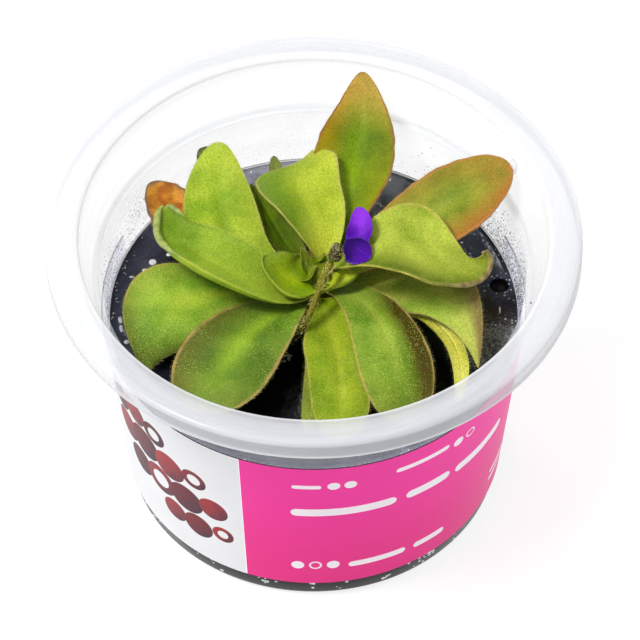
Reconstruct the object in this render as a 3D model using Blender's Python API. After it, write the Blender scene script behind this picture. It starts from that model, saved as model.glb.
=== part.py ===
"""Potted butterwort: a rosette with one flower, growing in dark gel in a clear cup with a paper wrap.

Lengths are in millimetres and angles in degrees here, and the meshes are built in metres with +Z up.
The origin is the centre of the cup's base, and -Y is the front.
"""

from dataclasses import dataclass
from math import cos, pi, radians, sin

import bmesh
import bpy
import numpy as np
from mathutils import Matrix, Vector

MM = 0.001
GAP = 0.3
SEGMENTS = 48

# cup
BASE_RADIUS = 33.0
WALL_SLOPE = 0.105
WALL = 0.55
FLOOR = 0.8
LEDGE_HEIGHT = 50.6
LEDGE_OUT = 0.9
UPPER_RADIUS = 41.6
RIM_RADIUS = 47.5
RIM_HEIGHT = 60.5
RIM_THICKNESS = 0.7
SKIRT_HEIGHT = 56.5
SKIRT_THICKNESS = 0.8

# paper wrap
LABEL_LOW = 4.4
LABEL_HIGH = 41.6
LABEL_THICKNESS = 0.2
LABEL_START = -205.0
LABEL_JOIN = -110.5
LABEL_END = 25.0
LABEL_JOIN_GAP = 0.2

# gel
GEL_TOP = 38.2
MENISCUS_RISE = 0.5
MENISCUS_WIDTH = 1.5
PIT_CENTRE = (33.2, 7.2)
PIT_RADIUS = 1.75

# crown
CROWN = (1.0, 1.5)
CROWN_RADIUS = 2.0
CROWN_LOW = 30.5
CROWN_TOP = 50.0
CROWN_DOME = 2.0

# flower stem
SCAPE_RADIUS = 0.55
SCAPE_POINTS = (
    (0.2, -1.6, 40.6),
    (-2.2, -5.4, 40.2),
    (-3.7, -9.0, 41.5),
    (-3.1, -9.9, 44.6),
    (-1.3, -9.3, 47.9),
    (0.8, -5.4, 51.2),
    (2.2, -2.9, 53.4),
    (3.1, -1.5, 54.6),
)
CALYX_RADIUS = 1.1
CALYX_LENGTH = 2.9

LEAF_THICKNESS = 0.9
EDGE_SHARE = 0.35
SPINE_STEPS = 96
SECTION_STEPS = 32
CURL_FROM = 0.6
TIP_CROWDING = 1.5

# colours
CLEAR = (0.86, 0.88, 0.92)
WHITE = (0.86, 0.86, 0.85)
PINK = (0.78, 0.07, 0.24)
GEL = (0.012, 0.014, 0.022)
GREEN = (0.22, 0.4, 0.03)
LIME = (0.36, 0.52, 0.05)
OLIVE = (0.26, 0.28, 0.06)
ORANGE = (0.52, 0.2, 0.04)
STEM = (0.24, 0.26, 0.06)
GREY_GREEN = (0.2, 0.22, 0.11)
VIOLET = (0.2, 0.02, 0.75)
BLUE_VIOLET = (0.07, 0.004, 0.4)


def clear_scene():
    """Remove every object that the new file starts with."""
    for thing in list(bpy.data.objects):
        bpy.data.objects.remove(thing, do_unlink=True)


def finish(name, colour, roughness, alpha=1.0):
    """Make the Principled material of one piece."""
    material = bpy.data.materials.new(name)
    material.use_nodes = True
    shader = material.node_tree.nodes["Principled BSDF"]
    shader.inputs["Base Color"].default_value = (*colour, 1.0)
    shader.inputs["Roughness"].default_value = roughness
    shader.inputs["Alpha"].default_value = alpha
    return material


def add_object(name, points, faces, material, sharp=40.0):
    """Make one object from points in millimetres and its faces, with outward normals."""
    mesh = bpy.data.meshes.new(name)
    mesh.from_pydata([tuple(value * MM for value in point) for point in points], [], faces)
    body = bmesh.new()
    body.from_mesh(mesh)
    bmesh.ops.recalc_face_normals(body, faces=body.faces)
    body.to_mesh(mesh)
    body.free()
    mesh.materials.append(material)
    mesh.shade_smooth()
    mesh.set_sharp_from_angle(angle=radians(sharp))
    thing = bpy.data.objects.new(name, mesh)
    bpy.context.scene.collection.objects.link(thing)
    return thing


def turned(profile, segments):
    """Turn a profile that starts and ends on the axis; give its points and faces."""
    points = [Vector((0.0, 0.0, profile[0][1]))]
    rings = []
    for radius, height in profile[1:-1]:
        rings.append(len(points))
        for step in range(segments):
            angle = 2.0 * pi * step / segments
            points.append(Vector((radius * cos(angle), radius * sin(angle), height)))
    last = len(points)
    points.append(Vector((0.0, 0.0, profile[-1][1])))
    faces = []
    for step in range(segments):
        after = (step + 1) % segments
        faces.append((0, rings[0] + after, rings[0] + step))
        faces.append((last, rings[-1] + step, rings[-1] + after))
        for low, high in zip(rings, rings[1:]):
            faces.append((low + step, low + after, high + after, high + step))
    return points, faces


def wall_radius(height):
    """Outer radius of the cup's lower wall at a height."""
    return BASE_RADIUS + WALL_SLOPE * height


def build_cup():
    """The thin clear cup: tapered wall, ledge, flared upper wall, flat rim and skirt."""
    outer_ledge = wall_radius(LEDGE_HEIGHT - WALL)
    inner_ledge = wall_radius(LEDGE_HEIGHT) - WALL
    rim_under = RIM_HEIGHT - RIM_THICKNESS
    skirt_inner = RIM_RADIUS - SKIRT_THICKNESS
    profile = (
        (0.0, 0.0),
        (BASE_RADIUS - 1.1, 0.0),
        (BASE_RADIUS - 0.3, 0.3),
        (wall_radius(1.2), 1.2),
        (outer_ledge, LEDGE_HEIGHT - WALL),
        (outer_ledge + LEDGE_OUT, LEDGE_HEIGHT - 0.3),
        (UPPER_RADIUS + WALL - 0.1, rim_under - 0.6),
        (UPPER_RADIUS + WALL + 0.5, rim_under),
        (skirt_inner - 0.5, rim_under),
        (skirt_inner, rim_under - 0.5),
        (skirt_inner, SKIRT_HEIGHT + 0.2),
        (skirt_inner + 0.2, SKIRT_HEIGHT),
        (RIM_RADIUS - 0.2, SKIRT_HEIGHT),
        (RIM_RADIUS, SKIRT_HEIGHT + 0.2),
        (RIM_RADIUS, RIM_HEIGHT - 0.9),
        (RIM_RADIUS - 0.3, RIM_HEIGHT - 0.25),
        (RIM_RADIUS - 1.0, RIM_HEIGHT),
        (UPPER_RADIUS + 0.7, RIM_HEIGHT),
        (UPPER_RADIUS + 0.1, RIM_HEIGHT - 0.25),
        (UPPER_RADIUS - 0.1, RIM_HEIGHT - 0.9),
        (inner_ledge + LEDGE_OUT, LEDGE_HEIGHT + 0.3),
        (inner_ledge + LEDGE_OUT - 0.3, LEDGE_HEIGHT),
        (inner_ledge, LEDGE_HEIGHT),
        (wall_radius(FLOOR) - WALL, FLOOR + 0.5),
        (wall_radius(FLOOR) - WALL - 0.7, FLOOR),
        (0.0, FLOOR),
    )
    points, faces = turned(profile, SEGMENTS)
    add_object("cup", points, faces, finish("cup", CLEAR, 0.12, 0.35))


def build_label(name, start, end, colour):
    """One panel of the paper wrap, from a start angle to an end angle round the cup."""
    low = wall_radius(LABEL_LOW) + GAP
    high = wall_radius(LABEL_HIGH) + GAP
    section = (
        (low, LABEL_LOW),
        (low + LABEL_THICKNESS, LABEL_LOW),
        (high + LABEL_THICKNESS, LABEL_HIGH),
        (high, LABEL_HIGH),
    )
    pitch = 360.0 / SEGMENTS
    inner = np.arange(np.floor(start / pitch) + 1, np.ceil(end / pitch)) * pitch
    angles = [start, *inner, end]
    points = []
    faces = []
    for angle in angles:
        turn = radians(angle)
        points += [Vector((radius * cos(turn), radius * sin(turn), height)) for radius, height in section]
    corners = len(section)
    for row in range(len(angles) - 1):
        for corner in range(corners):
            here = row * corners + corner
            beside = row * corners + (corner + 1) % corners
            faces.append((here, beside, beside + corners, here + corners))
    last = corners * (len(angles) - 1)
    faces.append(tuple(range(corners)))
    faces.append(tuple(last + corner for corner in reversed(range(corners))))
    add_object(name, points, faces, finish(name, colour, 0.45))


def cut(thing, points, faces):
    """Take a closed cutter away from an object and leave the result as its mesh."""
    cutter = add_object(thing.name + "_cutter", points, faces, None)
    cutter.hide_render = True
    cutter.display_type = "WIRE"
    tool = thing.modifiers.new("Cut", "BOOLEAN")
    tool.operation = "DIFFERENCE"
    tool.solver = "EXACT"
    tool.object = cutter
    depsgraph = bpy.context.evaluated_depsgraph_get()
    shaped = bpy.data.meshes.new_from_object(thing.evaluated_get(depsgraph))
    thing.modifiers.clear()
    thing.data = shaped
    bpy.data.objects.remove(cutter, do_unlink=True)


def build_gel():
    """The gel: it stands clear of the wall and floor, with a raised edge, a pit and a socket."""
    def edge(height):
        return wall_radius(height) - WALL - GAP
    low = FLOOR + GAP
    profile = (
        (0.0, low),
        (edge(low) - 0.9, low),
        (edge(low + 0.7), low + 0.7),
        (edge(GEL_TOP + MENISCUS_RISE), GEL_TOP + MENISCUS_RISE),
        (edge(GEL_TOP) - 0.3 * MENISCUS_WIDTH, GEL_TOP + 0.4 * MENISCUS_RISE),
        (edge(GEL_TOP) - MENISCUS_WIDTH, GEL_TOP),
        (0.0, GEL_TOP),
    )
    points, faces = turned(profile, SEGMENTS)
    gel = add_object("gel", points, faces, finish("gel", GEL, 0.15))
    socket = (
        (0.0, CROWN_LOW - GAP),
        (CROWN_RADIUS + GAP, CROWN_LOW - GAP),
        (CROWN_RADIUS + GAP, GEL_TOP + 2.0),
        (0.0, GEL_TOP + 2.0),
    )
    points, faces = turned(socket, 16)
    cut(gel, [point + Vector((*CROWN, 0.0)) for point in points], faces)
    arc = [(PIT_RADIUS * cos(radians(turn)), PIT_RADIUS * sin(radians(turn))) for turn in (-55, -25, 0)]
    pit = [(0.0, -PIT_RADIUS), *arc, (PIT_RADIUS, PIT_RADIUS), (0.0, PIT_RADIUS)]
    points, faces = turned(pit, 16)
    cut(gel, [point + Vector((*PIT_CENTRE, GEL_TOP - 0.3)) for point in points], faces)


def build_crown():
    """The short thick stem, with its lower end in the gel's socket and a domed top."""
    profile = (
        (0.0, CROWN_LOW),
        (CROWN_RADIUS - 0.8, CROWN_LOW),
        (CROWN_RADIUS, CROWN_LOW + 1.5),
        (CROWN_RADIUS, CROWN_TOP - CROWN_DOME),
        (0.4 * CROWN_RADIUS, CROWN_TOP),
        (0.0, CROWN_TOP),
    )
    points, faces = turned(profile, 20)
    points = [point + Vector((*CROWN, 0.0)) for point in points]
    add_object("crown", points, faces, finish("crown", LIME, 0.5))


def blend(values, places):
    """Run a smooth curve through evenly spaced values and read it at places from 0 to 1."""
    knots = np.asarray(values, dtype=float)
    if len(knots) == 1:
        return np.full_like(places, knots[0])
    first = 2.0 * knots[0] - knots[1]
    last = 2.0 * knots[-1] - knots[-2]
    padded = np.concatenate([[first], knots, [last]])
    span = np.clip(places, 0.0, 1.0) * (len(knots) - 1)
    cell = np.minimum(span.astype(int), len(knots) - 2)
    part = span - cell
    a, b, c, d = (padded[cell + shift] for shift in range(4))
    bend = 2.0 * a - 5.0 * b + 4.0 * c - d
    twist = 3.0 * b - a - 3.0 * c + d
    return 0.5 * (2.0 * b + (c - a) * part + bend * part**2 + twist * part**3)


@dataclass(frozen=True)
class Blade:
    """A leaf or petal: a curved midrib with a cupped section swept along it.

    heading, pitch, roll and cup are read in turn from root to tip. shape gives the width in shares of
    width. cup bends each half upwards in degrees. A curl adds a roll to the outer part of one half.
    """

    name: str
    colour: tuple
    root: tuple
    heading: tuple
    pitch: tuple
    roll: tuple
    length: float
    width: float
    shape: tuple
    tip: float
    cup: tuple
    curl_left: tuple = (0,)
    curl_right: tuple = (0,)
    thick: float = LEAF_THICKNESS
    rows: int = 12
    columns: int = 7

    def direction(self, places):
        """Unit vectors along the midrib."""
        heading = np.radians(blend(self.heading, places))
        pitch = np.radians(blend(self.pitch, places))
        return np.stack([np.cos(pitch) * np.cos(heading), np.cos(pitch) * np.sin(heading), np.sin(pitch)], -1)

    def midrib(self, places):
        """Points along the midrib."""
        fine = np.linspace(0.0, 1.0, SPINE_STEPS + 1)
        step = self.direction(fine) * (self.length / SPINE_STEPS)
        path = np.concatenate([[np.zeros(3)], np.cumsum(0.5 * (step[1:] + step[:-1]), axis=0)])
        path = path + np.array(self.root)
        return np.stack([np.interp(places, fine, path[:, axis]) for axis in range(3)], -1)

    def frame(self, places):
        """The directions to the left of the midrib and out of the upper face."""
        along = self.direction(places)
        heading = np.radians(blend(self.heading, places))
        roll = np.radians(blend(self.roll, places))[:, None]
        level = np.stack([-np.sin(heading), np.cos(heading), np.zeros_like(heading)], -1)
        up = np.cross(along, level)
        return level * np.cos(roll) + up * np.sin(roll), up * np.cos(roll) - level * np.sin(roll)

    def places(self):
        """The rows' places along the midrib, from 0 to 1 and closer together towards the tip."""
        return 1.0 - (1.0 - np.linspace(0.0, 1.0, self.rows)) ** TIP_CROWDING

    def upper_face(self):
        """Grids of the upper face's points and normals, one row for each place along the midrib."""
        places = self.places()
        across = np.linspace(-1.0, 1.0, self.columns)
        half = 0.5 * self.width * blend(self.shape, places) * np.sqrt(1.0 - places**self.tip)
        left, up = self.frame(places)
        spine = self.midrib(places)
        points = np.zeros((self.rows, self.columns, 3))
        normals = np.zeros_like(points)
        fine = np.linspace(0.0, 1.0, SECTION_STEPS + 1)
        share = np.clip((fine - CURL_FROM) / (1.0 - CURL_FROM), 0.0, 1.0)
        ramp = share * share * (3.0 - 2.0 * share)
        for side, curl in ((1.0, self.curl_left), (-1.0, self.curl_right)):
            bend = np.radians(blend(self.cup, places))[:, None] * fine
            bend = bend + np.radians(blend(curl, places))[:, None] * ramp
            middle = 0.5 * (bend[:, 1:] + bend[:, :-1])
            start = np.zeros((self.rows, 1))
            out = np.concatenate([start, np.cumsum(np.cos(middle), axis=1) / SECTION_STEPS], axis=1)
            rise = np.concatenate([start, np.cumsum(np.sin(middle), axis=1) / SECTION_STEPS], axis=1)
            for column in np.nonzero(across * side >= 0.0)[0]:
                spot = abs(across[column])
                for row in range(self.rows):
                    reach = half[row] * np.interp(spot, fine, out[row]) * side
                    lift = half[row] * np.interp(spot, fine, rise[row])
                    lean = np.interp(spot, fine, bend[row]) * side
                    points[row, column] = spine[row] + reach * left[row] + lift * up[row]
                    normals[row, column] = np.cos(lean) * up[row] - np.sin(lean) * left[row]
        return points, normals

    def build(self):
        """Close the blade between its two faces, thickest along the midrib, and add it."""
        top, normals = self.upper_face()
        places = self.places()[:, None]
        across = np.linspace(-1.0, 1.0, self.columns)[None, :]
        depth = self.thick * (EDGE_SHARE + (1.0 - EDGE_SHARE) * (1.0 - across**2))
        depth = depth * np.sqrt(1.0 - 0.7 * places**4)
        under = top - normals * depth[..., None]
        rows = self.rows - 1
        columns = self.columns
        middle = columns // 2
        points = [*top[:-1].reshape(-1, 3), *under[:-1].reshape(-1, 3), top[-1, middle], under[-1, middle]]
        below = rows * columns
        tip = 2 * below
        faces = []
        for row in range(rows - 1):
            for column in range(columns - 1):
                corner = row * columns + column
                quad = (corner, corner + columns, corner + columns + 1, corner + 1)
                faces.append(quad)
                faces.append(tuple(below + index for index in reversed(quad)))
            for column in (0, columns - 1):
                corner = row * columns + column
                faces.append((corner, below + corner, below + corner + columns, corner + columns))
        for column in range(columns - 1):
            end = (rows - 1) * columns + column
            faces.append((column, column + 1, below + column + 1, below + column))
            faces.append((end, tip, end + 1))
            faces.append((below + end, below + end + 1, tip + 1))
        for column in (0, columns - 1):
            end = (rows - 1) * columns + column
            faces.append((end, below + end, tip + 1, tip))
        add_object(self.name, points, faces, finish(self.name, self.colour, 0.4), 60.0)


def crown_root(bearing, reach, rise):
    """The point at a bearing, reach and height from the crown's axis."""
    turn = radians(bearing)
    return CROWN[0] + reach * cos(turn), CROWN[1] + reach * sin(turn), rise


def leaf(name, colour, bearing, reach, rise, **form):
    """Build one leaf of the rosette from its bearing round the crown."""
    Blade("leaf_" + name, colour, crown_root(bearing, reach, rise), **form).build()


def build_outer_leaves():
    """The lowest leaves, which lie over the gel."""
    leaf(
        "old_orange", ORANGE, bearing=150, reach=2.9, rise=40.5,
        heading=(164, 146, 120), pitch=(8, 15, 14, 13), roll=(-1, -1, 3),
        length=35.6, width=13.6, shape=(0.3, 0.75, 1.15, 0.95), tip=3.2, cup=(10, 21, 23),
    )
    leaf(
        "stub_left", OLIVE, bearing=137, reach=2.8, rise=41.9,
        heading=(143, 131, 119), pitch=(25, 29, 27, 3), roll=(0, -2, 2),
        length=32.2, width=8.2, shape=(0.3, 0.6, 0.85, 1.15), tip=4.2, cup=(0, 10, 21),
        rows=9, columns=5,
    )
    leaf(
        "stub_back", OLIVE, bearing=103, reach=2.9, rise=42.9,
        heading=(118, 108, 98), pitch=(25, 18, 14, 4), roll=(5, 3, 1),
        length=25.8, width=4.8, shape=(0.4, 0.6, 0.85, 1.05), tip=2.6, cup=(10,),
        rows=9, columns=5,
    )
    leaf(
        "front_small", GREEN, bearing=264, reach=2.9, rise=42.2,
        heading=(272, 266, 258), pitch=(-6, 5, -7, -16), roll=(-5, 2, -9),
        length=27.2, width=5, shape=(0.55, 0.8, 0.9, 1.05), tip=3.2, cup=(0, -5, -10),
        rows=9, columns=5,
    )
    leaf(
        "strap", LIME, bearing=-16, reach=3, rise=41.3,
        heading=(5, -43, -107), pitch=(16, 4, -2, -41), roll=(0, -3, 0),
        length=36.8, width=3.4, shape=(0.9, 0.85, 1, 1.05), tip=6.2, cup=(0, 0, 1),
        rows=9, columns=5,
    )
    leaf(
        "right_low", GREEN, bearing=6, reach=3, rise=42.7,
        heading=(31, -40, -82), pitch=(18, 14, -8, -50), roll=(-1, 14, -13),
        length=37.8, width=16.6, shape=(0.3, 1.05, 0.85, 0.2), tip=1.6, cup=(18, -6, -10),
    )
    leaf(
        "left_low", GREEN, bearing=211, reach=3, rise=41.8,
        heading=(175, 202, 268), pitch=(7, 19, -9, -61), roll=(6, -8, -8),
        length=37.4, width=19.2, shape=(0.2, 0.3, 1.25, 0.4), tip=3.6, cup=(18, -15, -29),
    )


def build_middle_leaves():
    """The long leaves that spread out to the wall."""
    leaf(
        "back_right", GREEN, bearing=43, reach=2.9, rise=44.2,
        heading=(31, 26, 11), pitch=(20, 16, 23, 29), roll=(-5, 2, -1),
        length=38, width=17, shape=(0.2, 0.65, 1.05, 1.25), tip=3.6, cup=(31, 9, 1),
    )
    leaf(
        "front_left", GREEN, bearing=221, reach=2.9, rise=43.3,
        heading=(224, 230, 244), pitch=(28, 8, -12, -26), roll=(32, -1, 9),
        length=33, width=18.4, shape=(0.2, 0.7, 1.05, 1.35), tip=4.2, cup=(20, -11, -6),
    )
    leaf(
        "front", GREEN, bearing=287, reach=2.8, rise=44.6,
        heading=(281, 276, 271), pitch=(32, -13, 22, -15, -34, -40), roll=(-12, -1, -1),
        length=31.4, width=14.4, shape=(0.25, 0.75, 0.85, 1.15), tip=3.6, cup=(33, 11, -10),
    )
    leaf(
        "inner_dark", OLIVE, bearing=122, reach=2.8, rise=44.3,
        heading=(132, 127, 123), pitch=(22, 27, 29, 24), roll=(10, 1, -2),
        length=20, width=7.2, shape=(0.25, 0.8, 0.8, 0.6), tip=2, cup=(50, 30, 20),
        rows=9, columns=5,
    )
    leaf(
        "upper_left", LIME, bearing=154, reach=3.1, rise=46.1,
        heading=(201, 115, 79), pitch=(8, 15, 33, 23), roll=(-14, -11, -3),
        length=34.2, width=15.2, shape=(0.2, 0.8, 1.1, 1), tip=2.2, cup=(43, 19, -2),
    )
    leaf(
        "back_tall", GREEN, bearing=85, reach=3, rise=45.5,
        heading=(73, 75, 92), pitch=(34, 12, 21, 31), roll=(0, 1, -1),
        length=38.8, width=15.4, shape=(0.25, 0.8, 1.2, 0.8), tip=2, cup=(42, 13, 4),
    )
    leaf(
        "front_right", GREEN, bearing=-31, reach=3, rise=45.9,
        heading=(317, 292, 281), pitch=(36, 7, -23, -57), roll=(-11, -3, -7),
        length=34.6, width=15.2, shape=(0.25, 0.65, 1, 1.2), tip=4, cup=(21, -9, -17),
    )


def build_upper_leaves():
    """The leaves over the middle of the rosette, and the young ones at its centre."""
    leaf(
        "left_rolled", LIME, bearing=216, reach=2.8, rise=47,
        heading=(211, 152, 103), pitch=(10, 27, 9, -7, 26), roll=(-17, 11, 2),
        length=34.2, width=15.2, shape=(0.35, 0.8, 0.95, 0.5), tip=4, cup=(21, 33, 23),
        curl_left=(60, 90, 60), curl_right=(0, 20, 40),
    )
    leaf(
        "top_centre", LIME, bearing=66, reach=3.4, rise=47.4,
        heading=(108, 113, 69), pitch=(55, 23, -1, -17), roll=(12, 12, -26),
        length=23.6, width=17.4, shape=(0.15, 0.7, 0.95, 1.25), tip=5.6, cup=(54, 29, 1),
    )
    leaf(
        "right_upper", LIME, bearing=26, reach=2.7, rise=49.4,
        heading=(-17, -9, -2, -5, 12, 67), pitch=(48, 36, -17, -24, -20, 102), roll=(-6, -11, 16),
        length=34, width=20.8, shape=(0.15, 0.65, 1.15, 0.7, 0.2), tip=2.8, cup=(28, 37, 30),
        curl_right=(0, 0, 90),
    )
    leaf(
        "inner_olive", OLIVE, bearing=235, reach=2.7, rise=47.9,
        heading=(206, 157, 117), pitch=(31, 24, 35, 7), roll=(-8, 0, 6),
        length=10.2, width=12, shape=(0.4, 0.95, 0.8, 0.8), tip=3.4, cup=(48, 35, 39),
        curl_left=(0, 40, 40), rows=9, columns=5,
    )
    leaf(
        "inner_narrow", GREEN, bearing=192, reach=2.3, rise=50,
        heading=(117, 116, 112), pitch=(81, 70, 56, 45), roll=(-3, -5, 7),
        length=4.6, width=2, shape=(0.65, 1, 0.85, 0.5), tip=2, cup=(40, 30, 20), thick=0.6,
        rows=9, columns=5,
    )
    leaf(
        "inner_yellow", LIME, bearing=-67, reach=3.2, rise=48,
        heading=(-16, -8, 2), pitch=(46, 41, 37, 32), roll=(-1, -2, -1),
        length=7, width=4.8, shape=(0.45, 0.9, 1, 0.7), tip=2.5, cup=(45, 40, 30), thick=0.7,
        rows=9, columns=5,
    )


def build_scape():
    """The flower stem: it leaves the crown under the leaves and rises over them in one curve."""
    places = np.linspace(0.0, 1.0, 17)
    path = np.stack([blend([point[axis] for point in SCAPE_POINTS], places) for axis in range(3)], -1)
    along = np.gradient(path, axis=0)
    sides = 8
    points = []
    for centre, forward in zip(path, along):
        forward = Vector(forward).normalized()
        first = (Vector((1.0, 0.0, 0.0)) - forward * forward.x).normalized()
        second = forward.cross(first)
        for side in range(sides):
            turn = 2.0 * pi * side / sides
            points.append(Vector(centre) + SCAPE_RADIUS * (cos(turn) * first + sin(turn) * second))
    faces = []
    for row in range(len(path) - 1):
        for side in range(sides):
            here = row * sides + side
            beside = row * sides + (side + 1) % sides
            faces.append((here, beside, beside + sides, here + sides))
    last = sides * (len(path) - 1)
    faces.append(tuple(reversed(range(sides))))
    faces.append(tuple(last + side for side in range(sides)))
    add_object("scape", points, faces, finish("scape", STEM, 0.6))
    return Vector(path[-1]), Vector(along[-1]).normalized()


def build_calyx(end, forward):
    """The small cup at the top of the stem, on the stem's own axis."""
    profile = (
        (0.0, 0.0),
        (0.55 * CALYX_RADIUS, 0.0),
        (0.9 * CALYX_RADIUS, 0.2 * CALYX_LENGTH),
        (CALYX_RADIUS, 0.5 * CALYX_LENGTH),
        (0.9 * CALYX_RADIUS, 0.8 * CALYX_LENGTH),
        (0.6 * CALYX_RADIUS, CALYX_LENGTH),
        (0.0, CALYX_LENGTH),
    )
    points, faces = turned(profile, 16)
    place = Matrix.Translation(end + GAP * forward) @ forward.to_track_quat("Z", "Y").to_matrix().to_4x4()
    add_object("calyx", [place @ point for point in points], faces, finish("calyx", GREY_GREEN, 0.6))


def build_flower():
    """The two lobes of the flower, which stand up and forwards from the calyx."""
    Blade(
        "corolla_upper", VIOLET, (6.7, 1.5, 55.4),
        heading=(51, 67, 93, 110), pitch=(-11, 41, 24, 34), roll=(-22, -8, -9),
        length=7.9, width=5, shape=(0.7, 1, 1, 1), tip=2.4, cup=(25, 25, 18), thick=0.45,
        rows=9, columns=5,
    ).build()
    Blade(
        "corolla_lower", BLUE_VIOLET, (5.5, -0.2, 58.5),
        heading=(-17, -31, -29), pitch=(-23, -10, -19), roll=(-11, -2, -19),
        length=5.2, width=5.6, shape=(0.2, 1.1, 1.15, 1.05), tip=4, cup=(-5, -8, -10), thick=0.45,
        rows=9, columns=5,
    ).build()


def main():
    """Build every piece."""
    clear_scene()
    build_cup()
    build_label("label_white", LABEL_START, LABEL_JOIN - 0.5 * LABEL_JOIN_GAP, WHITE)
    build_label("label_pink", LABEL_JOIN + 0.5 * LABEL_JOIN_GAP, LABEL_END, PINK)
    build_gel()
    build_crown()
    build_outer_leaves()
    build_middle_leaves()
    build_upper_leaves()
    end, forward = build_scape()
    build_calyx(end, forward)
    build_flower()


main()
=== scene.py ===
"""The looks of a potted butterwort: a dewy rosette with one violet flower, in gel, in a clear cup.

Shapes are laid out in millimetres and built in metres, with +Z up and -Y at the front.
"""

import logging
import math
from dataclasses import dataclass, field
from enum import Enum
from typing import Any, Iterable, Sequence

import bmesh
import bpy
import numpy as np
from mathutils import Matrix, Vector


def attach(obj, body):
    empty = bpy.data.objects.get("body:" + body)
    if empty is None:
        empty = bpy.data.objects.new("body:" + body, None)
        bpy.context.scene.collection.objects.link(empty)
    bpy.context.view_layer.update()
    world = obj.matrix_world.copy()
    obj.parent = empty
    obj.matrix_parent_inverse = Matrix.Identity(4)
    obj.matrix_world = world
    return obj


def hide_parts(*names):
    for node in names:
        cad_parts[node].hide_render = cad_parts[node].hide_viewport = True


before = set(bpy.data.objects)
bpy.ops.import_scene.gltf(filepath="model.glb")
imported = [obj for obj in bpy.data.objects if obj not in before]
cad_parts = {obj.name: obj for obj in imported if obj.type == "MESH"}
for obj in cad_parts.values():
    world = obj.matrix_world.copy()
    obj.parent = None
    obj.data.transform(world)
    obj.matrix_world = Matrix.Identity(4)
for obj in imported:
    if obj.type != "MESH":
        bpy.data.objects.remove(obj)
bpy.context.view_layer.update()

MM = 0.001
TURN = 2 * math.pi
GAP = 0.3
HAIR_RADIUS = 0.035
MIDRIB_STEPS = 96
SECTION_STEPS = 32
BODY = "root"
LOG = logging.getLogger("butterwort")

Colour = tuple[float, float, float]
Point = tuple[float, float, float]
Faces = list[tuple[int, ...]]
Solid = tuple[np.ndarray, Faces]
Material = bpy.types.Material


def rgb(red: float, green: float, blue: float) -> Colour:
    """Turn a display colour of 0 to 255 into the linear colour that shaders use.

    Args:
        red: Red, from 0 to 255.
        green: Green, from 0 to 255.
        blue: Blue, from 0 to 255.

    Returns:
        The linear colour.
    """
    parts = []
    for part in (red, green, blue):
        share = part / 255
        parts.append(share / 12.92 if share <= 0.04045 else ((share + 0.055) / 1.055) ** 2.4)
    return parts[0], parts[1], parts[2]


def toward(first: Colour, second: Colour, share: float) -> Colour:
    """Mix two colours: the first where the share is 0, and the second where it is 1."""
    return tuple(one * (1 - share) + other * share for one, other in zip(first, second))


def blend(values: Sequence[float], places: np.ndarray) -> np.ndarray:
    """Run a smooth curve through evenly spaced values and read it.

    Args:
        values: The values, from the first place to the last.
        places: Where to read the curve, from 0 to 1.

    Returns:
        The curve's values at those places.
    """
    knots = np.asarray(values, dtype=float)
    if len(knots) == 1:
        return np.full_like(places, knots[0])
    padded = np.concatenate([[2 * knots[0] - knots[1]], knots, [2 * knots[-1] - knots[-2]]])
    span = np.clip(places, 0, 1) * (len(knots) - 1)
    cell = np.minimum(span.astype(int), len(knots) - 2)
    part = span - cell
    a, b, c, d = (padded[cell + shift] for shift in range(4))
    bend = 2 * a - 5 * b + 4 * c - d
    twist = 3 * b - a - 3 * c + d
    return 0.5 * (2 * b + (c - a) * part + bend * part**2 + twist * part**3)


def ease(values: np.ndarray, low: float, high: float) -> np.ndarray:
    """Ease values, from 0 where they are low to 1 where they are high."""
    share = np.clip((values - low) / (high - low), 0, 1)
    return share * share * (3 - 2 * share)


def unit(vectors: np.ndarray) -> np.ndarray:
    """The same vectors with a length of 1."""
    return vectors / np.linalg.norm(vectors, axis=1, keepdims=True)


def run_along(path: np.ndarray) -> np.ndarray:
    """The distance run along a path at each of its points."""
    return np.concatenate([[0], np.cumsum(np.linalg.norm(np.diff(path, axis=0), axis=1))])


def read_along(places: np.ndarray, knots: np.ndarray, path: np.ndarray) -> np.ndarray:
    """The points at places along a path whose own points are at knots."""
    return np.stack([np.interp(places, knots, path[:, axis]) for axis in range(3)], -1)


def polar(radii: Any, turns: np.ndarray, heights: Any) -> np.ndarray:
    """Points at radii and angles round the Z axis, at heights."""
    return np.stack(np.broadcast_arrays(radii * np.cos(turns), radii * np.sin(turns), heights), -1)


class Wobble:
    """A smooth random field in space, made of a few sine waves."""

    def __init__(self, seed: int, length: float, waves: int = 7) -> None:
        """Draw the waves.

        Args:
            seed: The seed of the draw.
            length: The typical wave length, in millimetres.
            waves: How many waves are added up.
        """
        draw = np.random.default_rng(seed)
        ways = unit(draw.normal(size=(waves, 3)))
        self.ways = ways * (TURN / (length * draw.uniform(0.7, 1.5, size=(waves, 1))))
        self.starts = draw.uniform(0, TURN, size=waves)

    def at(self, points: np.ndarray) -> np.ndarray:
        """The field at points in millimetres, from about -1 to 1."""
        return np.sin(points @ self.ways.T + self.starts).sum(-1) / math.sqrt(2 * len(self.starts))


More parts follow.
